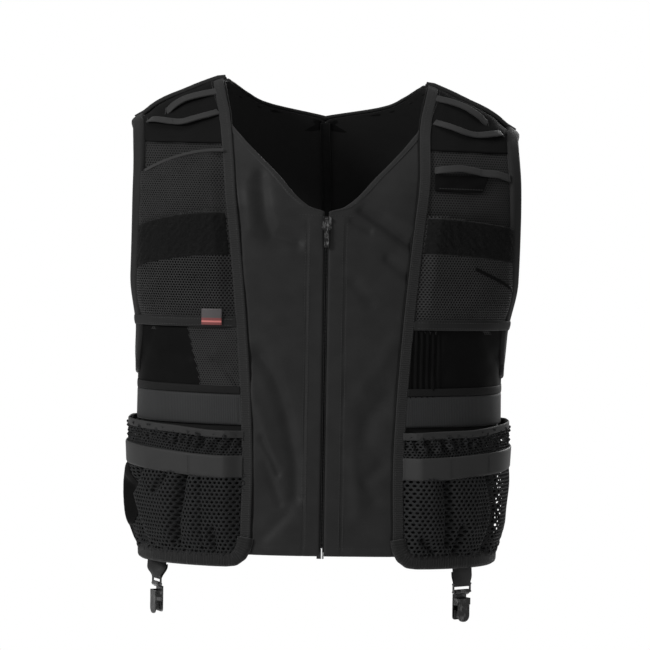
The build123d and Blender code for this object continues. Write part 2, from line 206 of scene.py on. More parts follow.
def seam_s(z):
    return arc_at_x(table_x(SEAM, z), z)


def side_s(z):
    return arc_at_turn(0.0, z)


def arm_front_s(z):
    z = np.asarray(z, float)
    cut = arc_at_x(table_x(ARM_EDGE, z), z)
    return np.where((z > ARM_LOW_Z) & (z < CREST_Z), cut, side_s(z))


def arm_back_s(z):
    z = np.asarray(z, float)
    cut = arc_at_x(table_x(ARM_EDGE, z), z, back=True)
    return np.where((z > ARM_LOW_Z) & (z < CREST_Z), cut, side_s(z))


NECK_TABLE_Z = np.linspace(BACK_NECK[0][0], PEAK_Z, 60)
NECK_TABLE_X = table_x(BACK_NECK, NECK_TABLE_Z)


def back_neck_z(x):
    return np.interp(np.abs(x), NECK_TABLE_X, NECK_TABLE_Z)


def back_inner_s(z):
    z = np.asarray(z, float)
    neck = arc_at_x(table_x(BACK_NECK, z), z, back=True)
    return np.where(z > BACK_NECK[0][0], neck, arc_total(z))


# ---------------------------------------------------------------- meshes
def smoothstep(x, low, high):
    t = np.clip((np.asarray(x, float) - low) / (high - low), 0, 1)
    return t * t * (3 - 2 * t)


def as_worn(p):
    """The cloth's lean on its wearer: the shoulders tip left, and the waist swings right round the zip."""
    x, y, z = p[:, 0], p[:, 1], p[:, 2]
    tip = 0.020 * smoothstep(z, 200, 460)
    swing = 5.0 * (1 - smoothstep(z, 180, 400)) * smoothstep(y, -112, -20)
    neck = 3.0 * smoothstep(z, 400, 470)
    return np.stack([x - swing - neck, y, z - tip * x], axis=1)


def add_mesh(name, points, faces, sign, material, uv=None, worn=True):
    """A mesh from points in working millimetres on the wearer's left; sign -1 puts it on the right."""
    points = np.asarray(points, float).reshape(-1, 3)
    flat = [np.asarray(f, np.int64) for f in faces if len(f)]
    if sign < 0:
        flat = [f[:, ::-1] for f in flat]
    place = np.stack([points[:, 0] * sign, points[:, 1], points[:, 2]], axis=1)
    if worn:
        place = as_worn(place)
    place = (place - (0, 0, HANG_Z)) * MM
    mesh = bpy.data.meshes.new(name)
    mesh.vertices.add(len(place))
    mesh.vertices.foreach_set("co", place.ravel())
    sizes = np.concatenate([np.full(len(f), f.shape[1]) for f in flat])
    loops = np.concatenate([f.ravel() for f in flat])
    mesh.loops.add(len(loops))
    mesh.loops.foreach_set("vertex_index", loops)
    mesh.polygons.add(len(sizes))
    mesh.polygons.foreach_set("loop_start", np.concatenate([[0], np.cumsum(sizes)[:-1]]))
    mesh.polygons.foreach_set("loop_total", sizes)
    mesh.polygons.foreach_set("use_smooth", np.ones(len(sizes), bool))
    if uv is not None:
        layer = mesh.uv_layers.new(name="UVMap")
        layer.data.foreach_set("uv", np.asarray(uv, float).reshape(-1, 2)[loops].ravel())
    mesh.update(calc_edges=True)
    mesh.validate()
    mesh.materials.append(material)
    obj = bpy.data.objects.new(name, mesh)
    bpy.context.scene.collection.objects.link(obj)
    return obj


def grid_faces(rows, columns, closed=False):
    """Quads of a grid of points, rows by columns; closed joins the last column to the first."""
    index = np.arange(rows * columns).reshape(rows, columns)
    if closed:
        index = np.concatenate([index, index[:, :1]], axis=1)
    a, b, c, d = index[:-1, :-1], index[:-1, 1:], index[1:, 1:], index[1:, :-1]
    return np.stack([a, b, c, d], axis=-1).reshape(-1, 4)


def solid(obj, thick, inward=True):
    mod = obj.modifiers.new("thickness", "SOLIDIFY")
    mod.thickness = thick * MM
    mod.offset = -1.0 if inward else 1.0
    return obj


def cloth(name, s0, s1, z0, z1, off, size, sign, material, thick=0.0):
    """A sheet between two edges s0(z) and s1(z); z0 and z1 are heights, or functions of u for sloping
    ends."""
    columns, rows = size
    u, v = np.meshgrid(np.linspace(0, 1, columns + 1), np.linspace(0, 1, rows + 1))
    low = z0(u) if callable(z0) else z0
    high = z1(u) if callable(z1) else z1
    z = low + (high - low) * v
    left, right = s0(z), s1(z)
    s = left + (right - left) * u
    height = off(s, z, u, v) if callable(off) else off
    points = on(s, z, height)
    obj = add_mesh(name, points, [grid_faces(rows + 1, columns + 1)], sign, material,
                   np.stack([s, z], axis=-1))
    if thick:
        solid(obj, thick)
    return obj


def unit(v):
    return v / np.maximum(np.linalg.norm(v, axis=-1, keepdims=True), 1e-9)


def strip(name, path, normals, profile, sign, material, closed_section=False, ribs=0.0, rib_pitch=2.2,
          across=None, worn=True):
    """A tape along a path of points: profile is its cross-section as (across, out) pairs."""
    path = np.asarray(path, float)
    tangent = unit(np.gradient(path, axis=0))
    normals = unit(normals)
    across = unit(np.cross(tangent, normals)) if across is None else unit(across)
    profile = np.asarray(profile, float)
    length = np.concatenate([[0], np.cumsum(np.linalg.norm(np.diff(path, axis=0), axis=1))])
    rise = ribs * np.cos(2 * pi * length / rib_pitch)[:,
                                                      None] * (profile[None, :, 1] > 0.35
                                                              * profile[:, 1].max())
    out = profile[None, :, 1] + rise
    points = path[:, None, :] + across[:, None, :] * profile[None, :, 0, None] + normals[:, None,
            :] * out[..., None]
    turn = np.concatenate([[0], np.cumsum(np.linalg.norm(np.diff(profile, axis=0), axis=1))])
    uv = np.stack(np.broadcast_arrays(turn[None, :], length[:, None]), axis=-1)
    faces = grid_faces(len(path), len(profile), closed_section)
    return add_mesh(name, points, [faces[:, ::-1]], sign, material, uv, worn)


def resample(points, step):
    points = np.asarray(points, float)
    length = np.concatenate([[0], np.cumsum(np.linalg.norm(np.diff(points, axis=0), axis=1))])
    count = max(2, int(round(length[-1] / step)) + 1)
    want = np.linspace(0, length[-1], count)
    return np.stack([np.interp(want, length, points[:, k]) for k in range(points.shape[1])], axis=1)


def surface_path(sz, off, step=0.7):
    """Points and normals along a path of (s, z) pairs laid on the torso."""
    fine = resample(sz, 0.5)
    rough = on(fine[:, 0], fine[:, 1], off)
    length = np.concatenate([[0], np.cumsum(np.linalg.norm(np.diff(rough, axis=0), axis=1))])
    want = np.linspace(0, length[-1], max(2, int(length[-1] / step) + 1))
    s = np.interp(want, length, fine[:, 0])
    z = np.interp(want, length, fine[:, 1])
    return on(s, z, off), normal_at(s, z)


def flat_profile(width, thick, edge=0.8, count=7):
    """The open upper outline of a flat tape, rounded down at both edges."""
    w = width / 2
    inner = np.linspace(-w + edge, w - edge, count)
    return [(-w, -0.4), (-w, thick * 0.55), (-w + edge * 0.4, thick * 0.9)] + [(x, thick) for x in inner] + [
        (w - edge * 0.4, thick * 0.9), (w, thick * 0.55), (w, -0.4)]


def band_profile(width, thick):
    """The closed outline of a loose band of webbing."""
    w, t, e = width / 2, thick / 2, thick * 0.35
    return [(-w, 0), (-w + e * 0.5, t * 0.8), (-w + e, t), (-w / 2, t), (0, t), (w / 2, t), (w - e, t),
            (w - e * 0.5, t * 0.8),
            (w, 0), (w - e * 0.5, -t * 0.8), (w - e, -t), (w / 2, -t), (0, -t), (-w / 2, -t), (-w + e, -t),
            (-w + e * 0.5, -t * 0.8)]


# ---------------------------------------------------------------- nets with real holes
def hex_net(name, keep, place, u_range, z_range, pitch, sign, material, hole=0.62, relief=0.18):
    """A knitted net: every cell is a ring of six quads round a hole. keep(u, z) says which cells exist."""
    dy = pitch * 0.866
    rows = int((z_range[1] - z_range[0]) / dy) + 1
    columns = int((u_range[1] - u_range[0]) / pitch) + 1
    r, c = np.meshgrid(np.arange(rows), np.arange(columns), indexing="ij")
    cu = u_range[0] + (c + 0.5 * (r % 2)) * pitch
    cz = z_range[0] + r * dy
    cu, cz = cu.ravel(), cz.ravel()
    mask = keep(cu, cz)
    cu, cz = cu[mask], cz[mask]
    angle = pi / 6 + np.arange(6) * pi / 3
    radius = pitch / np.sqrt(3)
    du, dz = radius * np.cos(angle), radius * np.sin(angle)
    outer_u, outer_z = cu[:, None] + du, cz[:, None] + dz
    inner_u, inner_z = cu[:, None] + du * hole, cz[:, None] + dz * hole
    keys = np.round(np.stack([outer_u.ravel() / (pitch / 4), outer_z.ravel() / (dy / 6)],
                             axis=1)).astype(np.int64)
    _, first, inverse = np.unique(keys, axis=0, return_index=True, return_inverse=True)
    inverse = inverse.reshape(-1)
    all_u = np.concatenate([outer_u.ravel()[first], inner_u.ravel()])
    all_z = np.concatenate([outer_z.ravel()[first], inner_z.ravel()])
    lift = np.concatenate([np.full(len(first), relief), np.zeros(inner_u.size)])
    points = place(all_u, all_z, lift)
    outer = inverse.reshape(-1, 6)
    inner = len(first) + np.arange(inner_u.size).reshape(-1, 6)
    nxt = np.roll(np.arange(6), -1)
    quads = np.stack([outer, outer[:, nxt], inner[:, nxt], inner], axis=-1).reshape(-1, 4)
    return add_mesh(name, points, [quads], sign, material, np.stack([all_u, all_z], axis=-1))


# ---------------------------------------------------------------- stitching
def stitches(name, lines, sign, material, pitch=3.0, length=2.1, width=0.75, height=0.5):
    """Thread dashes along lines of (points, normals)."""
    points, faces, base = [], [], 0
    for path, normals in lines:
        span = np.concatenate([[0], np.cumsum(np.linalg.norm(np.diff(path, axis=0), axis=1))])
        where = np.arange(pitch / 2, span[-1], pitch)
        if not len(where):
            continue
        p = np.stack([np.interp(where, span, path[:, k]) for k in range(3)], axis=1)
        n = unit(np.stack([np.interp(where, span, normals[:, k]) for k in range(3)], axis=1))
        ahead = np.stack([np.interp(where + 0.4, span, path[:, k]) for k in range(3)], axis=1)
        behind = np.stack([np.interp(where - 0.4, span, path[:, k]) for k in range(3)], axis=1)
        t = unit(ahead - behind)
        b = np.cross(n, t)
        ring = [(-0.5, 0, -0.1), (-0.25, -0.5, 0.35), (-0.25, 0.5, 0.35), (0.25, -0.5, 0.35),
                (0.25, 0.5, 0.35), (0.5, 0, -0.1),
                (0, 0, 1.0)]
        for along, side, up in ring:
            points.append(p + t * along * length + b * side * width + n * up * height)
        count = len(where)
        k = np.arange(count)
        ids = [base + j * count + k for j in range(len(ring))]
        for a, c, d in ((0, 1, 6), (0, 6, 2), (1, 3, 6), (2, 6, 4), (3, 5, 6), (5, 4, 6)):
            faces.append(np.stack([ids[a], ids[c], ids[d]], axis=1))
        base += count * len(ring)
    return add_mesh(name, np.concatenate(points), [np.concatenate(faces)], sign, material,
                    np.zeros((base, 2)))


# ---------------------------------------------------------------- materials
class Graph:
    """A small helper that wires shader nodes."""

    def __init__(self, name):
        self.mat = bpy.data.materials.new(name)
        self.mat.use_nodes = True
        self.nodes = self.mat.node_tree.nodes
        self.links = self.mat.node_tree.links
        self.bsdf = next(n for n in self.nodes if n.type == "BSDF_PRINCIPLED")

    def node(self, kind, inputs=(), **settings):
        made = self.nodes.new(kind)
        for key, value in settings.items():
            setattr(made, key, value)
        for socket, value in dict(inputs).items():
            self.feed(made.inputs[socket], value)
        return made

    def feed(self, socket, value):
        if isinstance(value, bpy.types.NodeSocket):
            self.links.new(value, socket)
        else:
            socket.default_value = value

    def math(self, operation, a, b=0.0, clamp=False):
        made = self.node("ShaderNodeMath", operation=operation, use_clamp=clamp)
        self.feed(made.inputs[0], a)
        self.feed(made.inputs[1], b)
        return made.outputs[0]

    def noise(self, vector, size, detail=3.0, rough=0.55):
        made = self.node("ShaderNodeTexNoise", {"Vector": vector, "Scale": 1.0 / size, "Detail": detail,
                                                "Roughness": rough})
        return made.outputs["Fac"]

    def ramp(self, value, low, high, a, b):
        made = self.node("ShaderNodeMapRange", {"Value": value, "From Min": low, "From Max": high,
                                                "To Min": a, "To Max": b})
        return made.outputs["Result"]

    def mix(self, factor, a, b):
        made = self.node("ShaderNodeMix", data_type="RGBA")
        self.feed(made.inputs["Factor"], factor)
        self.feed(made.inputs["A"], (*a, 1.0) if isinstance(a, tuple) else a)
        self.feed(made.inputs["B"], (*b, 1.0) if isinstance(b, tuple) else b)
        return made.outputs["Result"]


def half_wave(graph, value, pitch):
    """A 0 to 1 wave of a given pitch in millimetres."""
    turned = graph.math("MULTIPLY", value, 2 * pi / pitch)
    return graph.math("ADD", graph.math("MULTIPLY", graph.math("SINE", turned), 0.5), 0.5)


def textile(name, dark, light, rough, weave, pitch, bump=0.35, depth=0.12, sheen=0.08, mottle=0.5,
            solid_space=False, specular=0.12,
            grain=0.22):
    """Woven, ribbed, knitted or piled cloth; the UV map is in millimetres along the piece."""
    g = Graph(name)
    if solid_space:
        where = g.node("ShaderNodeTexCoord").outputs["Object"]
        place = g.node("ShaderNodeVectorMath", {0: where, 1: (1000.0, 1000.0, 1000.0)},
                       operation="MULTIPLY").outputs[0]
    else:
        place = g.node("ShaderNodeUVMap").outputs["UV"]
    split = g.node("ShaderNodeSeparateXYZ", {0: place})
    u, v = split.outputs["X"], split.outputs["Z" if solid_space else "Y"]
    if weave == "plain":
        thread = g.math("MULTIPLY", half_wave(g, u, pitch), half_wave(g, v, pitch))
    elif weave == "rib_u":
        thread = half_wave(g, u, pitch)
    elif weave == "rib_v":
        thread = half_wave(g, v, pitch)
    elif weave == "knit":
        diagonal = half_wave(g, g.math("ADD", u, v), pitch)
        other = half_wave(g, g.math("SUBTRACT", u, v), pitch)
        thread = g.math("MAXIMUM", diagonal, other)
    else:
        thread = g.noise(place, pitch, 4.0, 0.7)
    fine = g.noise(place, 1.1, 2.0)
    broad = g.noise(place, 26.0, 3.0)
    tone = g.math("ADD", g.math("MULTIPLY", thread, 1.0 - mottle), g.math("MULTIPLY", broad, mottle))
    tone = g.math("ADD", tone, g.math("MULTIPLY", fine, grain))
    colour = g.mix(g.ramp(tone, 0.25, 0.95, 0.0, 1.0), dark, light)
    g.feed(g.bsdf.inputs["Base Color"], colour)
    g.feed(g.bsdf.inputs["Roughness"], g.ramp(g.math("ADD", fine, broad), 0.7, 1.3, rough - 0.07,
                                              min(1.0, rough + 0.07)))
    g.bsdf.inputs["Specular IOR Level"].default_value = specular
    g.bsdf.inputs["Sheen Weight"].default_value = sheen
    g.bsdf.inputs["Sheen Roughness"].default_value = 0.45
    height = g.math("ADD", g.math("MULTIPLY", thread, 0.8), g.math("MULTIPLY", fine, 0.5))
    relief = g.node("ShaderNodeBump", {"Strength": bump, "Distance": depth * MM, "Height": height})
    g.feed(g.bsdf.inputs["Normal"], relief.outputs["Normal"])
    return g.mat


def hard(name, dark, light, rough, metallic=0.0, bump=0.15, coat=0.0, grain=0.7):
    """Moulded plastic or enamelled metal with fine grain, scuffs and rubbed patches."""
    g = Graph(name)
    where = g.node("ShaderNodeTexCoord").outputs["Object"]
    place = g.node("ShaderNodeVectorMath", {0: where, 1: (1000.0, 1000.0, 1000.0)},
                   operation="MULTIPLY").outputs[0]
    fine, broad = g.noise(place, grain, 3.0), g.noise(place, 7.0, 4.0)
    stretched = g.node("ShaderNodeVectorMath", {0: place, 1: (3.0, 3.0, 0.35)},
                       operation="MULTIPLY").outputs[0]
    scuff = g.noise(stretched, 1.6, 5.0, 0.7)
    worn = g.ramp(g.math("MULTIPLY", scuff, broad), 0.26, 0.42, 0.0, 1.0)
    g.feed(g.bsdf.inputs["Base Color"], g.mix(worn, dark, light))
    g.feed(g.bsdf.inputs["Roughness"], g.ramp(g.math("ADD", scuff, fine), 0.7, 1.3, rough - 0.08,
                                              rough + 0.12))
    g.bsdf.inputs["Metallic"].default_value = metallic
    g.bsdf.inputs["Coat Weight"].default_value = coat
    g.bsdf.inputs["Coat Roughness"].default_value = 0.25
    relief = g.node("ShaderNodeBump", {"Strength": bump, "Distance": 0.1 * MM,
                                       "Height": g.math("ADD", fine, scuff)})
    g.feed(g.bsdf.inputs["Normal"], relief.outputs["Normal"])
    return g.mat


def grey(value, warm=0.0):
    return (value * (1 + warm), value, value * (1 - warm))


NYLON = textile("nylon_cloth", grey(0.0050), grey(0.0200), 0.6, "plain", 0.8, bump=0.35, depth=0.05,
                sheen=0.06, mottle=0.5,
                grain=0.5)
CHEST_NET = textile("chest_net_yarn", grey(0.0056), grey(0.0223), 0.65, "knit", 1.3, bump=0.5, depth=0.1,
                    mottle=0.6)
ID_NET = textile("id_net_yarn", grey(0.0054), grey(0.0168), 0.62, "knit", 1.3, bump=0.5, depth=0.1,
                 mottle=0.5)
CARGO_NET = textile("cargo_net_yarn", grey(0.0047, -0.02), grey(0.0180, -0.02), 0.6, "knit", 1.6, bump=0.5,
                    depth=0.12, mottle=0.5, sheen=0.01, specular=0.07)
LINING = textile("lining_tricot", grey(0.003), grey(0.006), 0.75, "rib_u", 0.7, bump=0.3, depth=0.05,
                 sheen=0.04, mottle=0.6)
SMOOTH = textile("smooth_panel", grey(0.0020), grey(0.0044), 0.6, "rib_u", 0.6, bump=0.25, depth=0.04,
                 mottle=0.75, sheen=0.01, specular=0.03)
PAD = textile("shoulder_cloth", grey(0.0036), grey(0.0076), 0.7, "fuzz", 2.2, bump=0.5, depth=0.2,
              mottle=0.4, sheen=0.01, specular=0.03)
TAPE = textile("ribbed_tape", grey(0.0084), grey(0.0189), 0.68, "rib_v", 2.2, bump=0.5, depth=0.25,
               mottle=0.4)
BINDING = textile("binding_tape", grey(0.0064), grey(0.0128), 0.7, "rib_v", 1.0, bump=0.4, depth=0.12,
                  mottle=0.5)
WEBBING = textile("webbing", grey(0.0135, -0.02), grey(0.0232, -0.02), 0.62, "rib_u", 1.9, bump=0.5,
                  depth=0.2, mottle=0.45)
SMOOTH_WEB = textile("smooth_webbing", grey(0.0153), grey(0.0275), 0.6, "rib_v", 0.9, bump=0.3, depth=0.1,
                     mottle=0.6)
ELASTIC = textile("elastic_edge", grey(0.0135), grey(0.0261), 0.65, "rib_v", 0.8, bump=0.4, depth=0.1,
                  mottle=0.5)
PILE = textile("loop_pile", grey(0.0023), grey(0.0099), 0.9, "fuzz", 2.6, bump=0.9, depth=0.5, sheen=0.04,
               mottle=0.25, specular=0.05)
BACK_LINING = textile("back_tricot", grey(0.006), grey(0.011), 0.75, "rib_u", 0.7, bump=0.3, depth=0.05,
                      sheen=0.04, mottle=0.6)
THREAD = textile("thread", grey(0.016), grey(0.034), 0.6, "rib_u", 0.5, bump=0.2, depth=0.05,
                 solid_space=True)
# Near-black cloth for painted shade: the shadow in the gap between the nylon and the edge tape.
SEAM_GAP_SHADE = textile("painted_seam_gap_shade", grey(0.002), grey(0.004), 0.75, "rib_v", 1.0, bump=0.3, depth=0.1,
                    sheen=0.05)
ZIP_TAPE = textile("zip_tape_cloth", grey(0.004), grey(0.009), 0.7, "rib_u", 0.9, bump=0.4, depth=0.1,
                   sheen=0.1)
ZIP_TEETH = hard("zip_teeth_plastic", grey(0.006), grey(0.03), 0.35)
ZIP_METAL = hard("zip_slider_enamel", grey(0.012), grey(0.3), 0.28, metallic=0.85, coat=0.4)
PIN_METAL = hard("zip_end_metal", grey(0.45), grey(0.75), 0.25, metallic=1.0)
CLIP_METAL = hard("clip_enamel", grey(0.012), grey(0.22), 0.25, metallic=0.7, coat=0.6)
CLIP_PLASTIC = hard("clip_pad_plastic", grey(0.012), grey(0.03), 0.5)


def tag_material():
    """A small woven label: pale grey above, a red band below, no lettering."""
    g = Graph("woven_tag")
    split = g.node("ShaderNodeSeparateXYZ", {0: g.node("ShaderNodeUVMap").outputs["UV"]})
    across, up = split.outputs["X"], split.outputs["Y"]
    thread = g.math("MULTIPLY", half_wave(g, across, 0.8), half_wave(g, up, 0.8))
    red = g.mix(thread, (0.09, 0.008, 0.008), (0.15, 0.014, 0.012))
    pale = g.mix(thread, (0.018, 0.015, 0.016), (0.05, 0.043, 0.045))
    core = g.mix(thread, (0.36, 0.09, 0.08), (0.5, 0.16, 0.14))
    middle = g.math("MULTIPLY", g.ramp(up, TAG_Z[0] + 2.6, TAG_Z[0] + 3.0, 0.0, 1.0),
                    g.ramp(up, TAG_Z[0] + 4.2, TAG_Z[0] + 4.6, 1.0, 0.0))
    colour = g.mix(g.ramp(up, TAG_Z[0] + 7.0, TAG_Z[0] + 7.4, 0.0, 1.0), g.mix(middle, red, core), pale)
    g.feed(g.bsdf.inputs["Base Color"], colour)
    g.bsdf.inputs["Roughness"].default_value = 0.6
    g.bsdf.inputs["Sheen Weight"].default_value = 0.2
    relief = g.node("ShaderNodeBump", {"Strength": 0.4, "Distance": 0.1 * MM, "Height": thread})
    g.feed(g.bsdf.inputs["Normal"], relief.outputs["Normal"])
    return g.mat


TAG_Z = (251.0, 267.5)
TAG = tag_material()


# ---------------------------------------------------------------- dressing helpers
def baked(obj):
    """Applies the modifiers, so that the mesh is final."""
    if obj.modifiers:
        graph = bpy.context.evaluated_depsgraph_get()
        mesh = bpy.data.meshes.new_from_object(obj.evaluated_get(graph))
        obj.modifiers.clear()
        obj.data = mesh
    return obj


def dress(obj, slot, body, *replaced):
    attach(obj, body)
    if replaced:
        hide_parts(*replaced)
    return obj


def face_area(obj):
    areas = np.zeros(len(obj.data.polygons))
    obj.data.polygons.foreach_get("area", areas)
    return float(areas.sum())


def as_sheet(obj, width, length, take_up=1.02):
    """Works out the flat area of a cut piece of cloth of width by length mm; nothing uses it.
    """
    flat_area = face_area(obj) * take_up
    size = (width * MM, length * MM)
    flat_area = min(max(flat_area, 0.31 * size[0] * size[1]), size[0] * size[1])
    return obj


def ridge(s, z, line, width):
    """1 on a polyline of (s, z) points, falling away over width to each side."""
    line = np.asarray(line, float)
    best = np.full(np.broadcast(s, z).shape, 1e9)
    for (s0, z0), (s1, z1) in zip(line, line[1:]):
        ds, dz = s1 - s0, z1 - z0
        t = np.clip(((s - s0) * ds + (z - z0) * dz) / (ds * ds + dz * dz), 0, 1)
        best = np.minimum(best, np.hypot(s - s0 - t * ds, z - z0 - t * dz))
    return np.exp(-(best / width) ** 2)


def ripple(s, z, seed, size):
    """Smooth random relief of about plus or minus one, from a few crossed waves."""
    local = np.random.default_rng(seed)
    total = 0.0
    for _ in range(7):
        angle, phase, stretch = local.uniform(0, pi), local.uniform(0, 2 * pi), local.uniform(0.7, 1.7)
        total = total + np.sin(2 * pi * (s * np.cos(angle) + z * np.sin(angle)) / (size * stretch) + phase)
    return total / 3.2


# ---------------------------------------------------------------- nylon fronts
PLACKET = 18.5
SEAM_ROW_Z = 363.0
FOLDS = {
    "right": [([(69, 402), (64, 360), (56, 343), (30, 338)], 7.5, -2.3), ([(80, 398), (76, 350)], 7, 0.9),
              ([(68, 221), (53, 202), (40, 164), (28, 110), (28, 77)], 7.5, -2.2),
              ([(78, 190), (60, 150), (52, 110)], 7, 1.0),
              ([(63, 136), (53, 117), (46, 100)], 3.2, -1.3), ([(58, 110), (44, 70)], 4.5, -1.0),
              ([(36, 60), (60, 34)], 6, -0.8)],
    "left": [([(37, 371), (53, 361), (88, 337)], 6, -2.2), ([(34, 380), (60, 372), (88, 354)], 6, 1.0),
             ([(26, 360), (44, 351)], 3.6, -1.3), ([(64, 322), (86, 304)], 5.5, -1.6),
             ([(29, 296), (46, 277)], 6.5, -1.2),
             ([(72, 240), (58, 215), (40, 190)], 8, 0.9), ([(66, 182), (46, 158), (43, 136)], 10, -1.7),
             ([(60, 110), (45, 92), (54, 74)], 8.5, -1.5), ([(30, 120), (36, 60)], 7, 0.8)],
}


def nylon_front(side, sign):
    heights = np.concatenate([np.arange(FRONT_HEM_Z, 366, 2.4), np.arange(366, 376, 0.8),
                              np.arange(376, 457.6, 1.8), [457.8]])
    u = np.linspace(0, 1, 61)
    z = np.repeat(heights[:, None], len(u), axis=1)
    inner_x = np.array([SLOT if h < NECK_V[0][0] else curve(NECK_V, h)[0] for h in heights])
    left = arc_at_x(inner_x, heights)[:, None]
    right = seam_s(heights)[:, None] + 3.0 + 3.0 * smoothstep(32 - heights, 0, 14)[:, None]
    s = left + (right - left) * u[None, :]
    off = 0.8 + 0.7 * ripple(s, z, 3 if sign > 0 else 4, 58) + 0.12 * ripple(s, z, 8, 17)
    for line, width, depth in FOLDS[side]:
        off = off + 2.0 * depth * ridge(s, z, line, width)
    placket = smoothstep(PLACKET + 0.6 - s, -0.5, 0.7) * smoothstep(SEAM_ROW_Z - z, -0.5, 0.8)
    pucker = np.cos(2 * pi * z / 3.1 + 0.4 * np.sin(s)) * np.exp(-((s - PLACKET)
            / 3.2) ** 2) * smoothstep(360 - z, 0, 4)
    off = off * (1 - 0.45 * placket) + 0.75 * placket + 0.16 * pucker
    off = off - 0.7 * np.exp(-((s - PLACKET - 0.9) / 0.8) ** 2) * smoothstep(SEAM_ROW_Z - z, 0, 2)
    off = off - 0.6 * np.exp(-((z - SEAM_ROW_Z) / 0.9) ** 2) * smoothstep(34 - s, 0, 8)
    edge = (s - left) / 6.5
    hem_fold = smoothstep(1.1 - edge, 0, 0.15) * smoothstep(z, 364, 372)
    foot = smoothstep(FRONT_HEM_Z + 9.5 - z, 0, 0.8)
    off = off + 0.55 * hem_fold + 0.5 * foot - 1.1 * np.exp(-((seam_s(z) - s) / 1.3) ** 2)
    roll = np.exp(-((s - left) / 0.9) ** 2) + np.exp(-((z - FRONT_HEM_Z) / 0.9) ** 2)
    points = on(s, z, off - 0.9 * roll)
    obj = add_mesh("front_cloth_" + side, points, [grid_faces(len(heights), len(u))], sign, NYLON,
                   np.stack([s, z], axis=-1))
    as_sheet(obj, 100, 450)
    baked(solid(obj, 1.4))
    return dress(obj, "nylon", side + "_half", "front_panel_" + side)


def line_of(points, off):
    path, normals = surface_path(points, off)
    return path, normals


def front_stitching(side, sign):
    rows = np.arange(22, 361, 6.0)
    lines = [line_of([(PLACKET - 1.6, z) for z in rows], 1.5),
             line_of([(PLACKET + 2.6, z) for z in rows], 0.9)]
    neck = [(float(arc_at_x(curve(NECK_V, z)[0], z)) + 5.4, z) for z in np.arange(371, 449, 4.0)]
    lines.append(line_of(neck, 1.4))
    lines.append(line_of([(4, SEAM_ROW_Z + 2), (28, SEAM_ROW_Z + 2)], 1.3))
    lines.append(line_of([(5, FRONT_HEM_Z + 8.2), (30, FRONT_HEM_Z + 8.2), (60, FRONT_HEM_Z + 8.2)], 1.2))
    obj = stitches("front_stitching_" + side, lines, sign, THREAD)
    return dress(obj, "nylon", side + "_half")


# ---------------------------------------------------------------- body cloth: lining sheets and nets
def joined(z, apart, lapped):
    """Front and back keep apart at the armhole and lap at the side and shoulder seams."""
    return np.where((z > ARM_LOW_Z) & (z < CREST_Z), apart, lapped)


def seam_tapes(side, sign):
    """The taped side seam and shoulder seam, where front and back meet."""
    for name, low, high in (("side_seam_", 8.0, 200.0), ("shoulder_seam_", 461.0, PEAK_Z)):
        z = np.arange(low, high, 0.8)
        s = side_s(z)
        points, normals = on(s, z, 2.1 if low > 400 else 0.2), normal_at(s, z)
        if low > 400:
            reach = np.arange(0.8, 8.5, 0.8)[:, None]
            points = np.concatenate([points, points[-1] + reach * (-1.0, 0.0, 0.12)])
            normals = np.concatenate([normals, np.repeat(normals[-1:], len(reach), axis=0)])
        obj = strip(name + side, points, normals, flat_profile(8.0, 1.2, 0.7, 5), sign, BINDING, ribs=0.05,
                    rib_pitch=1.6)
        dress(baked(solid(obj, 1.2 if low < 400 else 3.4)), "tape", side + "_half")


def lining_front(side, sign):
    obj = cloth("front_lining_" + side, lambda z: seam_s(z)
                + np.interp(z, (12, 17, 25, 34), (18, 11.5, 7.5, 4)),
                lambda z: arm_front_s(z) + joined(z, -0.5, 0.8), 12.0, PEAK_Z - 1.0, -1.1,
                (44, 190), sign, LINING)
    as_sheet(obj, 190, 495)
    return dress(baked(solid(obj, 0.5)), "lining", side + "_half", "mesh_panel_" + side)


def lining_back(side, sign):
    obj = cloth("back_lining_" + side, lambda z: arm_back_s(z) + joined(z, 0.5, -0.8),
                lambda z: back_inner_s(z), 8.0, PEAK_Z - 1.0, -1.1,
                (90, 190), sign, BACK_LINING)
    as_sheet(obj, 245, 500)
    baked(solid(obj, 0.5))
    return bend(obj, "lining", side, sign, "back_mesh_" + side, "back_mesh_middle")


def bend(obj, slot, side, sign, *replaced):
    """Bakes the cloth's placement into its mesh and hides the CAD parts that it replaces."""
    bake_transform(obj)
    if replaced:
        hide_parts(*replaced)
    return obj


def net_front(side, sign):
    def keep(s, z):
        return (s > seam_s(z) + 6) & (s < arm_front_s(z) - 3.5) & (z < 470)

    def place(s, z, lift):
        return on(s, z, 0.1 + lift + 0.5 * ripple(s, z, 21, 60))

    obj = hex_net("front_net_" + side, keep, place, (70, 262), (246, 472), 2.9, sign, CHEST_NET, hole=0.56)
    as_sheet(obj, 130, 225)
    return dress(obj, "mesh", side + "_half")


def net_back(side, sign):
    def keep(s, z):
        x = by_turn_x(np.minimum(s, arc_total(z)), z)
        return (s > arm_back_s(z) + 3.0) & (s < arc_total(z) + 0.2) & (z > 14) & (z < back_neck_z(x) - 4)

    def place(s, z, lift):
        return on(np.minimum(s, arc_total(z)), z, 0.2 + lift + 0.5 * ripple(s, z, 25, 70))

    obj = hex_net("back_net_" + side, keep, place, (170, 640), (14, 500), 3.4, sign, CHEST_NET, hole=0.56)
    as_sheet(obj, 245, 490)
    return bend(obj, "mesh", side, sign)


# ---------------------------------------------------------------- tapes and bindings
def edge_path():
    low = 34.0
    path = [(float(seam_s(z)) + TAPE_W / 2, z) for z in np.arange(505.8, low, -4.0)]
    foot = float(seam_s(low)) + TAPE_W / 2
    return path + [(foot, low), (foot + 1.5, 25), (foot + 5.5, 17), (foot + 12, 12.2), (foot + 20, 11.2),
                   (foot + 34, 11.0)]


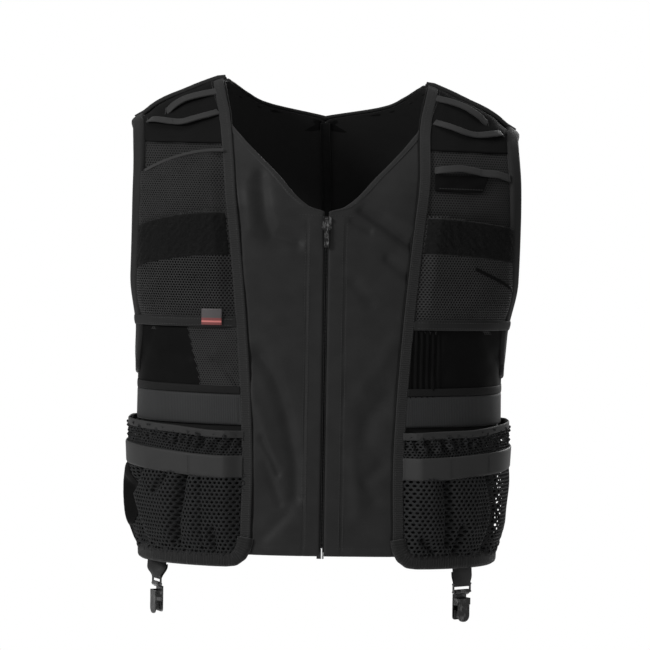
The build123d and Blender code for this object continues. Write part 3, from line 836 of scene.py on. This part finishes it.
def edge_tape(side, sign):
    path, normals = surface_path(edge_path(), 0.7, 0.55)
    obj = strip("edge_binding_" + side, path, normals, flat_profile(TAPE_W, 1.9, 1.1, 9), sign, TAPE,
                ribs=0.16, rib_pitch=2.2)
    dress(obj, "tape", side + "_half", "edge_tape_" + side)
    # A near-black strip along the tape's inner edge is painted shade, standing for the shadow in the gap
    # between the nylon and the tape.
    groove = [(a - TAPE_W / 2 - 0.3, b) for a, b in edge_path()[:-4]]
    path, normals = surface_path(groove, 0.1, 1.2)
    gap_shade = strip("seam_gap_shade_" + side, path, normals, flat_profile(1.5, 0.9, 0.5, 3), sign, SEAM_GAP_SHADE)
    dress(gap_shade, "tape", side + "_half")
    lines = [line_of([(a + k, b) for a, b in edge_path()], 2.5) for k in (-3.4, 3.6)]
    return dress(stitches("edge_stitching_" + side, lines, sign, THREAD, width=0.7, height=0.5), "tape",
                 side + "_half")


def armhole_path():
    front = [(float(arm_front_s(z)) - BINDING_W / 2, z) for z in np.arange(455, 214, -4.0)]
    side = float(side_s(202))
    under = [(side - 22, 207), (side - 12, 203.5), (side, 202.5), (side + 12, 203.5), (side + 22, 207)]
    back = [(float(arm_back_s(z)) + BINDING_W / 2, z) for z in np.arange(216, 456, 4.0)]
    top = (float(side_s(462.5)), 462.5)
    return [top] + front + under + back + [top]


def armhole_binding(side, sign):
    path, normals = surface_path(armhole_path(), 0.4, 0.8)
    obj = strip("armhole_tape_" + side, path, normals, flat_profile(BINDING_W, 2.0, 1.2, 7), sign, BINDING,
                ribs=0.06, rib_pitch=1.6)
    baked(solid(obj, 2.6))
    dress(obj, "tape", side + "_half", "armhole_binding_" + side)
    inner = [(a + (-2.9 if b > 214 and a < float(side_s(202)) else 2.9 if b > 214 else 0),
              b + (3 if b <= 214 else 0))
             for a, b in armhole_path()[1:-1]]
    return dress(stitches("armhole_stitching_" + side, [line_of(inner, 2.5)], sign, THREAD, width=0.7,
                          height=0.5), "tape",
                 side + "_half")


def hem_binding(side, sign):
    lead = edge_path()[-6:]
    end = float(arc_total(11.0))
    path = lead + [(s, 11.0) for s in np.arange(lead[-1][0] + 8, end - 2, 6.0)] + [(end, 11.0)]
    points, normals = surface_path(path, 0.5, 0.35)
    obj = strip("hem_tape_" + side, points, normals, flat_profile(10.0, 2.1, 1.2, 7), sign, BINDING,
                ribs=0.07, rib_pitch=1.6)
    baked(solid(obj, 3.2))
    bend(obj, "tape", side, sign, "hem_binding_" + side)
    row = stitches("hem_stitching_" + side, [line_of([(a, b + 3.4) for a, b in path], 3.6)], sign, THREAD,
                   width=0.7, height=0.5)
    return bend(row, "tape", side, sign)


def neck_binding(side, sign):
    path = []
    for x in (106.5, 101, 96, 90, 80, 70, 58, 46, 34, 22, 10, 0):
        z = float(back_neck_z(x)) - 3.4
        path.append((float(arc_at_x(x, z, back=True)), z))
    points, normals = surface_path(path, 0.6, 0.8)
    obj = strip("neck_tape_" + side, points, normals, flat_profile(BINDING_W, 1.9, 1.1, 7), sign, BINDING,
                ribs=0.06, rib_pitch=1.6)
    baked(solid(obj, 3.6))
    return bend(obj, "tape", side, sign)


def back_seam():
    """A taped seam down the middle of the back, inside and out."""
    for name, low, thick, material in (("back_seam_tape", 0.3, 1.3, BINDING),
                                       ("back_seam_inside", -3.2, 1.0, LINING)):
        z = np.arange(9.0, 467.0, 1.0)
        points = on(arc_total(z), z, low)
        points[:, 0] = 0
        normals = np.tile((0.0, 1.0, 0.0), (len(z), 1))
        obj = strip(name, points, normals, flat_profile(9.0, thick, 0.8, 5), 1.0, material, ribs=0.06,
                    rib_pitch=1.6)
        dress(baked(solid(obj, 1.0)), "tape", "back")


# ---------------------------------------------------------------- webbing across the sides
def slope_up(s, rise, start=95.0, span=110.0):
    """The bands rise a little towards the side seam."""
    return rise * smoothstep(s, start, start + span)


def waist_webbing(side, sign):
    def off(s, z, u, v):
        edge = np.minimum(v, 1 - v) * 31
        return 2.6 + 0.05 * np.cos(2 * pi * s / 1.9) - 0.8 * np.exp(-(edge / 0.9) ** 2) + 0.3 * ripple(s, z,
                31, 90)

    obj = cloth("waist_band_" + side, lambda z: seam_s(z) + TAPE_W - 1, lambda z: side_s(z) + 2,
                lambda u: 149 + 1.5 * u,
                lambda u: 180.5 + 2 * u, off, (330, 26), sign, WEBBING)
    as_sheet(obj, 190, 31)
    baked(solid(obj, 1.8))
    dress(obj, "webbing", side + "_half", "waist_webbing_" + side)
    lines = [line_of([(float(seam_s(170)) + TAPE_W + 2.5, z) for z in (152, 178)], 3.3)]
    return dress(stitches("waist_stitching_" + side, lines, sign, THREAD, 1.6, 1.4), "webbing",
                 side + "_half")


CARGO_BULGE = [(8, 3.0), (25, 9.0), (50, 14.0), (80, 15.0), (110, 14.0), (124, 11.0), (135, 10.0),
               (150, 12.0)]
CARGO_FOLDS = {
    "right": [([(176, 104), (187, 72), (177, 20)], 4.2, -10.0), ([(152, 96), (162, 78)], 3.0, -5.0),
              ([(134, 98), (139, 64), (144, 26)], 3.6, -8.0), ([(150, 92), (152, 40)], 6.5, 2.4),
              ([(124, 90), (126, 40)], 5.0, 1.8), ([(107, 42), (106, 20)], 3.2, -4.5),
              ([(117, 100), (117, 16)], 1.6, -1.6)],
    "left": [([(163, 100), (171, 60), (165, 18)], 4.0, -9.0), ([(120, 92), (125, 30)], 3.6, -6.0),
             ([(138, 46), (133, 16)], 3.0, -6.5), ([(147, 90), (148, 45)], 7.0, 2.2),
             ([(104, 90), (106, 40)], 7.0, 1.8),
             ([(98, 34), (112, 20)], 3.0, -4.0)],
}


GUSSET_X = 185.0   # where the net meets the plain gusset, on the wearer's right only


def bulge(z):
    return table_x(CARGO_BULGE, z)


def cargo_off(side, s, z):
    """How far the hanging pocket stands off the vest."""
    inner = smoothstep(s, float(seam_s(80)) + TAPE_W - 2, float(seam_s(80)) + TAPE_W + 13)
    outer = smoothstep(float(side_s(80)) + 32 - s, 0, 12)
    off = (bulge(z) - 0.6) * (0.1 + 0.9 * inner) * (0.2 + 0.8 * outer)
    body = smoothstep(z, 13, 24) * smoothstep(112 - z, 0, 14)
    x = by_turn_x(s, z)
    front = smoothstep(side_s(z) - 2 - s, 0, 12)
    for line, width, depth in CARGO_FOLDS[side]:
        off = off + 1.3 * depth * ridge(x, z, line, width) * body * front
    off = off + 1.1 * ripple(s, z * 0.45, 44 if side == "left" else 45, 26) * body * front
    gather = np.sin(2 * pi * s / 6.4 + 1.3 * np.sin(s / 9.0)) * np.exp(-((z - 15) / 9.0) ** 2)
    return np.maximum(off + 1.4 * gather, 0.9)


def by_turn_x(s, z):
    return on(s, z)[..., 0]


def cargo_nets(side, sign):
    start, end = float(seam_s(80)) + TAPE_W - 2, float(side_s(80)) + 34

    def keep(s, z):
        stop = end if side == "left" else arc_at_x(np.full_like(z, GUSSET_X + 2.5), z)
        return (s > seam_s(z) + TAPE_W - 2 + np.maximum(0, 24 - z) * 0.5) & (s < stop) & (z < 106
                + slope_up(s, 6))

    def place(s, z, lift):
        return on(s, z, cargo_off(side, s, z) + lift)

    obj = hex_net("cargo_pocket_" + side, keep, place, (start, end), (10, 116), 4.6, sign, CARGO_NET,
                  hole=0.53, relief=0.4)
    as_sheet(obj, 240, 112)
    baked(solid(obj, 0.7))
    dress(obj, "net", side + "_half", "cargo_net_" + side)

    def ruffled(s, z, lift):
        v = smoothstep(z, 116, 128) * smoothstep(147 - z, 0, 5)
        wave = 1.7 * np.sin(2 * pi * s / 9.5 + 3.4 * np.sin(s / 12.0) + z / 6.0) + 2.1 * ripple(s, z, 52, 8)
        return on(s, z + slope_up(s, 8), cargo_off(side, s, z) + lift + wave * v)

    obj = hex_net("cargo_ruffle_" + side, lambda s, z: s > start, ruffled, (start, end), (110, 138), 3.2,
                  sign, CARGO_NET,
                        hole=0.5, relief=0.5)
    as_sheet(obj, 260, 30)
    baked(solid(obj, 0.6))
    dress(obj, "net", side + "_half")

    def web_off(s, z, u, v):
        edge = np.minimum(v, 1 - v) * 23
        return cargo_off(side, s, np.full_like(z, 112.0)) + 1.9 - 0.9 * np.exp(-(edge
                / 1.0) ** 2) + 0.5 * ripple(s, z, 61, 55)

    obj = cloth("cargo_band_" + side, lambda z: z * 0 + start, lambda z: z * 0 + end + 1,
                lambda u: 95 + 9 * smoothstep(u, 0, 0.85),
                lambda u: 118 + 9 * smoothstep(u, 0, 0.85), web_off, (150, 20), sign, SMOOTH_WEB)
    as_sheet(obj, 252, 23)
    baked(solid(obj, 1.8))
    dress(obj, "webbing", side + "_half", "cargo_webbing_" + side)
    tacks = []
    for x in ((128, 166) if side == "right" else (122, 160)):
        at = float(arc_at_x(x, 110.0))
        lift = float(cargo_off(side, np.array(at), np.array(112.0))) + 2.0
        rise = float(9 * smoothstep((at - start) / (end - start), 0, 0.85))
        for k in (-0.8, 0.8):
            tacks.append(line_of([(at + k, 96.5 + rise), (at + k, 116.5 + rise)], lift))
    dress(stitches("cargo_tacks_" + side, tacks, sign, THREAD, 1.3, 1.2, 0.7, 0.5), "webbing", side + "_half")

    spots = np.linspace(start, end, 40)
    sag = {"right": [0.0, 0.5, 4.0, 5.5, 7, 8.5, 9], "left": [0.0, 2.0, 3.0, 6, 9, 10, 10]}[side]
    lift = np.interp(np.linspace(0, 1, 40), np.linspace(0, 1, 7), sag)
    heights = 139.5 + lift
    outs = cargo_off(side, spots, np.full(40, 140.0)) + 0.8 * np.sin(spots / 11.0) + 0.6
    fine = np.linspace(0, 39, 320)
    s = np.interp(fine, np.arange(40), spots)
    z = np.interp(fine, np.arange(40), heights)
    o = np.interp(fine, np.arange(40), outs)
    obj = strip("cargo_edge_" + side, on(s, z, o), normal_at(s, z), band_profile(7.5, 2.2), sign, ELASTIC,
                True)
    dress(obj, "elastic", side + "_half", "cargo_elastic_" + side)

    if side == "right":
        def gusset(s, z, u, v):
            rise = smoothstep(u, 0, 0.22) * smoothstep(1 - u, 0, 0.12)
            return cargo_off(side, s, z) + 0.6 + 5.5 * rise * np.sin(pi * np.clip((z - 14) / 88, 0, 1)) ** 0.6

        obj = cloth("cargo_gusset_right", lambda z: arc_at_x(np.full_like(z, GUSSET_X), z),
                    lambda z: z * 0 + end, 14.0, 102.0, gusset,
                    (24, 60), sign, SMOOTH)
        as_sheet(obj, 60, 92)
        dress(baked(solid(obj, 0.8)), "net", side + "_half")


# ---------------------------------------------------------------- the panels between
def belly(side, sign):
    def off(s, z, u, v):
        x = by_turn_x(s, z)
        base = 1.2 + 0.5 * ripple(s, z, 71, 34)
        if side == "left":
            pleat = np.cos(2 * pi * (s - 82) / 6.0) * smoothstep(122 - x, 0, 8)
            base = base + 1.1 * pleat + 0.8 * ridge(x, z, [(125, 245), (112, 190)], 5) - 1.2 * ridge(x, z,
                    [(165, 250), (182, 222)], 7)
        else:
            base = base - 1.6 * ridge(x, z, [(112, 214), (100, 205), (88, 190)], 2.6) + 1.4 * ridge(x, z,
                    [(110, 222), (94, 206)], 5)
            base = base + 1.2 * ridge(x, z, [(136, 212), (128, 190)], 4) - 1.0 * ridge(x, z,
                    [(176, 245), (186, 215)], 4)
        return base

    obj = cloth("belly_cloth_" + side, lambda z: seam_s(z) + TAPE_W - 2, arm_front_s, 178.0, 250.0, off,
                (120, 50), sign, SMOOTH)
    as_sheet(obj, 160, 72)
    dress(baked(solid(obj, 0.8)), "lining", side + "_half", "belly_panel_" + side)
    if side == "right":
        def keep(s, z):
            return (s > seam_s(z) + TAPE_W - 1) & (by_turn_x(s, z) < 134 - 0.25 * (250 - z) + 6)

        def place(s, z, lift):
            return on(s, z, off(s, z, 0, 0) + 0.7 + lift)

        net = hex_net("belly_net_right", keep, place, (78, 150), (186, 252), 2.6, sign, CHEST_NET, hole=0.5)
        as_sheet(net, 55, 62)
        dress(net, "mesh", side + "_half")

    def band_off(s, z, u, v):
        return 2.6 + 0.3 * np.sin(v * pi)

    obj = cloth("belly_binding_" + side, lambda z: seam_s(z) + TAPE_W - 1, arm_front_s,
                lambda u: 181 + 2 * u, lambda u: 188.5 + 2.5 * u,
                band_off, (110, 8), sign, LINING)
    dress(baked(solid(obj, 1.2)), "lining", side + "_half")

    def welt_off(s, z, u, v):
        return 1.6 + 3.8 * smoothstep(u, 0, 0.12) + 1.0 * np.sin(v * pi) ** 0.5 + 0.4 * ripple(s, z, 77, 40)

    obj = cloth("chest_welt_" + side, lambda z: seam_s(z) + TAPE_W - 1, lambda z: arm_front_s(z) - 2, 249.0,
                259.0, welt_off,
                (110, 10), sign, BINDING)
    dress(baked(solid(obj, 1.6)), "tape", side + "_half", "chest_band_" + side)
    rows = [[(float(seam_s(254)) + TAPE_W + k, z) for k in (1, 30, 60, 95)] for z in (251.0, 257.0)]
    return dress(stitches("welt_stitching_" + side, [line_of(r, 6.6) for r in rows], sign, THREAD), "tape",
                 side + "_half")


def chest_off(s, z):
    """The chest pocket's front stands off most in its middle and is sewn down at the sides and foot."""
    inner = smoothstep(s, seam_s(z) + TAPE_W - 1, seam_s(z) + TAPE_W + 13)
    outer = smoothstep(arm_front_s(z) - 3 - s, 0, 22)
    foot = smoothstep(z, 256, 275)
    return 1.2 + 7.3 * inner * (0.15 + 0.85 * outer) * (0.5 + 0.5 * foot) + 0.5 * ripple(s, z, 81, 45)


def chest_top(x):
    return 366.0 - 0.0030 * np.maximum(x - 100.0, 0) ** 2


def chest(side, sign):
    def keep(s, z):
        return (s > seam_s(z) + TAPE_W - 5) & (s < arm_front_s(z) - 4) & (z < chest_top(by_turn_x(s, z)) + 2)

    def place(s, z, lift):
        return on(s, z, chest_off(s, z) + lift)

    obj = hex_net("chest_net_" + side, keep, place, (80, 260), (256, 372), 2.9, sign, CHEST_NET, hole=0.56,
                  relief=0.3)
    as_sheet(obj, 125, 112)
    dress(baked(solid(obj, 0.5)), "mesh", side + "_half", "chest_pocket_" + side)
    obj = cloth("chest_backing_" + side, lambda z: seam_s(z) + TAPE_W - 2, lambda z: arm_front_s(z) - 4,
                256.0,
                lambda u: 366 - 22 * u ** 2, lambda s, z, u, v: chest_off(s, z) - 1.1, (60, 50), sign, LINING)
    as_sheet(obj, 125, 110)
    dress(baked(solid(obj, 0.4)), "lining", side + "_half")

    def patch_off(s, z, u, v):
        rim = np.minimum(np.minimum(u, 1 - u) * 95, np.minimum(v, 1 - v) * 44)
        fuzz = rng.normal(0, 0.28, s.shape) + 0.35 * ripple(s, z, 85, 7)
        return chest_off(s, z) + 1.2 + fuzz - 1.2 * np.exp(-(rim / 0.8) ** 2)

    low = 43.0 if side == "right" else 37.0
    drop = 16.0 if side == "right" else 9.0
    obj = cloth("loop_patch_" + side, lambda z: seam_s(z) + TAPE_W + 1, lambda z: arm_front_s(z) - 9,
                lambda u: 365 - low - drop * u ** 2, lambda u: 365 - drop * u ** 2, patch_off, (150, 60),
                sign, PILE)
    as_sheet(obj, 147, low)
    dress(baked(solid(obj, 1.4)), "hook_loop", side + "_half", "hook_loop_patch_" + side)
    if side == "left":
        def seam(s, z, u, v):
            return chest_off(s, z) + 0.9 + 0.3 * np.sin(v * pi)

        obj = cloth("chest_seam_left", lambda z: z * 0 + 150, lambda z: z * 0 + 205, lambda u: 312 - 24 * u,
                    lambda u: 315.5 - 24 * u,
                    seam, (50, 5), sign, SMOOTH)
        dress(baked(solid(obj, 0.6)), "mesh", side + "_half")


def shoulders(side, sign):
    def off(s, z, u, v):
        edge = np.minimum(u, 1 - u)
        return 0.9 + 1.6 * smoothstep(edge, 0, 0.2) + 0.5 * ripple(s, z, 91, 30)

    for name, s0, s1, low, replaced in (("pad_front_", lambda z: seam_s(z) + TAPE_W - 4,
                                         lambda z: arm_front_s(z) - 1, 437.0, True),
                                        ("pad_back_", lambda z: arm_back_s(z) + 1,
                                         lambda z: back_inner_s(z) - 4, 447.0, False)):
        obj = cloth(name + side, s0, s1, low, 503.5, off, (50, 44), sign, PAD)
        baked(solid(obj, 2.4))
        dress(obj, "lining", side + "_half", *(["shoulder_pad_" + side] if replaced else []))


def slack_band(name, side, sign, knots, width, material, slot, replaced, tacks=()):
    """A band of webbing over knots of (x, z, stand-off), sewn down at its ends."""
    knots = np.asarray(knots, float)
    fine = np.linspace(0, 1, 120)
    x, z, out = (smooth_through(knots[:, k], fine) for k in range(3))
    s = arc_at_x(x, z)
    obj = strip(name, on(s, z, out), normal_at(s, z), band_profile(width, 1.8), sign, material, True)
    dress(obj, slot, side + "_half", *replaced)
    lines = []
    for at in tacks:
        k = int(at * 119)
        a = on(s[k], z[k] - width / 2 + 1, out[k] + 1.0)
        b = on(s[k], z[k] + width / 2 - 1, out[k] + 1.0)
        n = normal_at(s[k:k + 1], z[k:k + 1])[0]
        lines.append((np.stack([a + (b - a) * f for f in np.linspace(0, 1, 8)]), np.stack([n] * 8)))
    if lines:
        dress(stitches(name + "_tacks", lines, sign, THREAD, 1.2, 1.1, 0.9, 0.5), slot, side + "_half")


def smooth_through(values, fine):
    """A gentle curve through evenly spaced values (Catmull-Rom)."""
    padded = np.concatenate([[2 * values[0] - values[1]], values, [2 * values[-1] - values[-2]]])
    place = np.clip(fine * (len(values) - 1), 0, len(values) - 1 - 1e-6)
    k = place.astype(int)
    f = place - k
    p0, p1, p2, p3 = padded[k], padded[k + 1], padded[k + 2], padded[k + 3]
    return 0.5 * (2 * p1 + (p2 - p0) * f + (2 * p0 - 5 * p1 + 4 * p2 - p3) * f**2
                  + (3 * p1 - p0 - 3 * p2 + p3) * f**3)


BANDS = {
    "right": {"front": [(110, 470, 2), (118, 466, 5.5), (137, 459, 7.5), (151, 458, 6), (166, 460, 7),
                        (176, 459.5, 5), (182, 458.5, 2)],
              "top": [(111, 492, 2), (122, 488, 5), (138, 482, 6), (152, 475, 5), (164, 468.5, 2)]},
    "left": {"front": [(112, 467, 2), (120, 463.5, 6), (136, 458, 7), (152, 455, 5), (166, 457, 7),
                       (176, 458.5, 5), (183, 457, 2)],
             "top": [(112, 493, 2), (124, 489, 5), (140, 482, 6), (155, 474.5, 5), (167, 468, 2)]},
}


def shoulder_bands(side, sign):
    slack_band("shoulder_band_" + side, side, sign, BANDS[side]["front"], 8.0, SMOOTH_WEB, "webbing",
               ["shoulder_loop_front_" + side], tacks=(0.03, 0.5, 0.97))
    slack_band("shoulder_strap_" + side, side, sign, BANDS[side]["top"], 9.5, SMOOTH_WEB, "webbing",
               ["shoulder_loop_top_" + side], tacks=(0.03, 0.97))


# ---------------------------------------------------------------- pieces on one side only
def id_panel():
    def top(x):
        return 430.0 - 0.0036 * np.maximum(x - 104.0, 0) ** 2

    def off(s, z):
        return 1.4 + 4.2 * smoothstep(s, seam_s(z) + 10,
                                      seam_s(z) + 24) * smoothstep(arm_front_s(z) - 4 - s, 0,
                                              12) + 0.7 * ripple(s, z, 95, 32)

    def keep(s, z):
        x = by_turn_x(s, z)
        return (s > seam_s(z) + TAPE_W - 5) & (s < arm_front_s(z) - 8) & (z < top(x)) & (z > chest_top(x) - 6)

    def place(s, z, lift):
        return on(s, z, off(s, z) + lift)

    obj = hex_net("id_net_right", keep, place, (84, 262), (336, 434), 2.6, -1.0, ID_NET, hole=0.42,
                  relief=0.3)
    as_sheet(obj, 110, 66)
    dress(baked(solid(obj, 0.5)), "lining", "right_half", "id_panel_right")
    rim = [(float(arc_at_x(x, top(x))), float(top(x)) - 1.5) for x in np.arange(104, 188, 4.0)]
    path, normals = surface_path(rim, 5.6, 1.0)
    dress(strip("id_rim_right", path, normals, flat_profile(3.6, 1.3, 0.7, 5), -1.0, SMOOTH_WEB), "lining",
          "right_half")


def radio_parts():
    slack_band("radio_band_left", "left", 1.0, [(110, 415, 2), (118, 416.5, 6), (134, 418, 7),
                                                (150, 416, 5), (158, 414.5, 4),
               (172, 413.5, 6), (187, 410, 3)], 8.5, SMOOTH_WEB, "webbing", ["radio_loop_left"],
               tacks=(0.03, 0.6, 0.97))

    def low(u):
        return 394 + 14 * smoothstep(u, 0.86, 1.0) ** 2

    obj = cloth("radio_flap_cloth", lambda z: arc_at_x(np.full_like(z, 109.0), z),
                lambda z: arc_at_x(np.full_like(z, 164.0), z), low,
                411.0, lambda s, z, u, v: 2.6 + 1.4 * (1 - v) * np.sin(pi * u) + 0.4 * ripple(s, z, 97, 20),
                (60, 22), 1.0, SMOOTH)
    as_sheet(obj, 58, 18)
    dress(baked(solid(obj, 1.6)), "nylon", "left_half", "radio_flap_left")
    rows = [line_of([(float(arc_at_x(x, 397.0)), 396.5) for x in (112, 130, 156)], 5.0)]
    dress(stitches("radio_flap_stitching", rows, 1.0, THREAD), "nylon", "left_half")


def tag():
    obj = cloth("woven_label", lambda z: arc_at_x(np.full_like(z, 101.5), z),
                lambda z: arc_at_x(np.full_like(z, 121.5), z), TAG_Z[0],
                TAG_Z[1], lambda s, z, u, v: 8.2 + 0.5 * np.sin(3 * u), (20, 16), -1.0, TAG)
    as_sheet(obj, 20, 16.5)
    dress(baked(solid(obj, 0.8)), "tag", "right_half", "tag_right")


def hang_loop():
    z = 451.0
    x = np.linspace(-22, 22, 90)
    out = 1.5 + 9.0 * np.clip(np.cos(x / 22 * pi / 2), 0, 1) ** 0.45
    sign = np.where(x > 0, 1.0, -1.0)
    inner = arc_at_x(np.abs(x), np.full_like(x, z), back=True)
    points, normals = on(inner, np.full_like(x, z), out), normal_at(inner, np.full_like(x, z))
    points[:, 0] *= sign
    normals[:, 0] *= sign
    obj = strip("hanger_loop", points, normals, band_profile(10.0, 1.8), 1.0, SMOOTH_WEB, True)
    dress(obj, "webbing", "back", "hang_loop")


def zip_parts(side, sign):
    def off(s, z, u, v):
        return -2.6 + 0.12 * np.cos(2 * pi * s / 0.9)

    obj = cloth("zip_cloth_" + side, lambda z: z * 0 + 0.9, lambda z: z * 0 + 13.0, 20.0, 362.0, off,
                (26, 120), sign, ZIP_TAPE)
    as_sheet(obj, 14, 342)
    dress(baked(solid(obj, 0.9)), "zip_tape", side + "_half", "zip_tape_" + side)


def belt_strap(side, sign):
    """The strap leaves the hem facing forward and turns to the ring's own direction on its way down."""
    joints = {j["name"]: j for j in frame["record"]["behaviour"]["joints"]}
    top = np.array(joints[side + "_strap_swing"]["pos_m"]) * 1000 + (0, 0, HANG_Z)
    ring = np.array(joints[side + "_ring_swing"]["pos_m"]) * 1000 + (0, 0, HANG_Z)
    axis = unit(np.array(joints[side + "_strap_swing"]["axis"], float))
    axis = axis if axis[0] > 0 else -axis
    outward = unit(np.cross(axis, (0, 0, 1.0)))
    down = np.linspace(0, 1, 60)[:, None]
    front = top + (0, 0, 12) - outward * 1.0
    path = front + (ring - (0, 0, 1.5) + outward * 1.2 - front) * down
    path[:, 1] -= 1.5 * np.sin(down[:, 0] * pi)
    angle = np.linspace(0, pi, 16)[1:, None]
    turn = ring + outward * 1.4 * np.cos(angle) - np.array((0, 0, 1.9)) * np.sin(angle) - (0, 0, 0.3)
    back = turn[-1] + (top - (0, 0, 5) - outward * 1.6 - turn[-1]) * np.linspace(0, 1, 30)[1:, None]
    path = resample(np.concatenate([path, turn, back]), 0.6)
    facing = unit(np.array((1.0, -0.12 * sign, 0.0)))
    share = smoothstep(path[:, 2], ring[2] - 3, ring[2] + 15)[:, None]
    across = unit(axis * (1 - share) + facing * share)
    tangent = unit(np.gradient(path, axis=0))
    normals = unit(np.cross(across, tangent))
    obj = strip("belt_strap_" + side, path, normals, band_profile(20.0, 1.1), 1.0, SMOOTH_WEB, True,
                across=across, worn=False)
    dress(obj, "webbing", side + "_strap", "clip_strap_" + side)


for side, sign in SIDES:
    nylon_front(side, sign)
    front_stitching(side, sign)
    lining_front(side, sign)
    lining_back(side, sign)
    seam_tapes(side, sign)
    net_front(side, sign)
    net_back(side, sign)
    edge_tape(side, sign)
    armhole_binding(side, sign)
    hem_binding(side, sign)
    neck_binding(side, sign)
    waist_webbing(side, sign)
    cargo_nets(side, sign)
    belly(side, sign)
    chest(side, sign)
    shoulders(side, sign)
    shoulder_bands(side, sign)
    zip_parts(side, sign)
    belt_strap(side, sign)
id_panel()
radio_parts()
tag()
hang_loop()
back_seam()

KEPT = {"zip_teeth": ZIP_TEETH, "zip_box": ZIP_TEETH, "zip_pin": PIN_METAL, "zip_slider": ZIP_METAL,
        "zip_pull": ZIP_METAL,
        "clip_ring": CLIP_METAL, "clip_frame": CLIP_METAL, "clip_pin": CLIP_METAL, "clip_lever": CLIP_METAL,
        "clip_pad": CLIP_PLASTIC}
for name, obj in frame["nodes"].items():
    for start, material in KEPT.items():
        if name.startswith(start):
            obj.data.materials.clear()
            obj.data.materials.append(material)


# ---------------------------------------------------------------- floor, light and camera
def set_stage():
    half = 5.5
    mesh = bpy.data.meshes.new("floor")
    z = CAD_BOX[0][2] - 0.9
    mesh.from_pydata([(-half, -half, z), (half, -half, z), (half, half, z), (-half, half, z)], [],
                     [(0, 1, 2, 3)])
    g = Graph("pale_floor")
    place = g.node("ShaderNodeTexCoord").outputs["Object"]
    g.feed(g.bsdf.inputs["Base Color"], g.mix(g.noise(place, 0.4), (0.88, 0.88, 0.88), (0.92, 0.92, 0.92)))
    g.bsdf.inputs["Roughness"].default_value = 0.9
    g.bsdf.inputs["Emission Color"].default_value = (1.0, 1.0, 1.0, 1.0)
    seen = g.node("ShaderNodeLightPath").outputs["Is Camera Ray"]
    g.feed(g.bsdf.inputs["Emission Strength"], g.math("MULTIPLY", seen, 0.5))
    mesh.materials.append(g.mat)
    floor = bpy.data.objects.new("floor", mesh)
    bpy.context.scene.collection.objects.link(floor)


def add_light(name, place, target, size, power):
    data = bpy.data.lights.new(name, "AREA")
    data.shape = "RECTANGLE"
    data.size, data.size_y = size
    data.energy = power
    obj = bpy.data.objects.new(name, data)
    obj.location = place
    aim(obj, target)
    bpy.context.scene.collection.objects.link(obj)


def aim(obj, target, roll=0.0):
    direction = Vector(target) - Vector(obj.location)
    turned = direction.to_track_quat("-Z", "Y").to_matrix() @ Matrix.Rotation(roll, 3, "Z")
    obj.rotation_euler = turned.to_euler()


MIDDLE = (0.0, 0.0, -0.25)  # the middle of the vest, which the lights and the camera face
WORLD_LIGHT = 0.40          # the strength of the world's light on the vest
PAPER_WHITE = 1.0           # the strength of the world as the camera sees it
CAMERA_DISTANCE = 3.2
CAMERA_TILT = radians(1.5)
CAMERA_ROLL = radians(0.9)

set_stage()
world = bpy.data.worlds.new("studio")
world.use_nodes = True
tree = world.node_tree
soft = next(n for n in tree.nodes if n.type == "BACKGROUND")
soft.inputs["Color"].default_value = (1, 1, 1, 1)
soft.inputs["Strength"].default_value = WORLD_LIGHT
paper = tree.nodes.new("ShaderNodeBackground")
paper.inputs["Color"].default_value = (1, 1, 1, 1)
paper.inputs["Strength"].default_value = PAPER_WHITE
choose = tree.nodes.new("ShaderNodeMixShader")
seen = tree.nodes.new("ShaderNodeLightPath")
tree.links.new(seen.outputs["Is Camera Ray"], choose.inputs["Fac"])
tree.links.new(soft.outputs["Background"], choose.inputs[1])
tree.links.new(paper.outputs["Background"], choose.inputs[2])
sheet_out = next(n for n in tree.nodes if n.type == "OUTPUT_WORLD")
tree.links.new(choose.outputs["Shader"], sheet_out.inputs["Surface"])
bpy.context.scene.world = world
bpy.context.scene.view_settings.view_transform = "Standard"
add_light("key", (-2.6, -2.0, 1.0), MIDDLE, (0.8, 0.8), 95)
add_light("fill", (1.4, -3.0, 0.3), MIDDLE, (1.4, 1.4), 8)
add_light("back", (1.6, 2.8, 0.9), MIDDLE, (1.4, 1.4), 60)
add_light("top", (-0.2, -0.3, 2.0), (0, 0, -0.1), (1.2, 0.8), 12)
camera_data = bpy.data.cameras.new("camera")
camera_data.sensor_width = 36.0
camera_data.lens = 167.0
camera_data.clip_end = 60.0
camera = bpy.data.objects.new("camera", camera_data)
camera.location = (0.0, -CAMERA_DISTANCE * np.cos(CAMERA_TILT),
                   MIDDLE[2] + CAMERA_DISTANCE * np.sin(CAMERA_TILT))
aim(camera, MIDDLE, roll=CAMERA_ROLL)
bpy.context.scene.collection.objects.link(camera)
bpy.context.scene.camera = camera
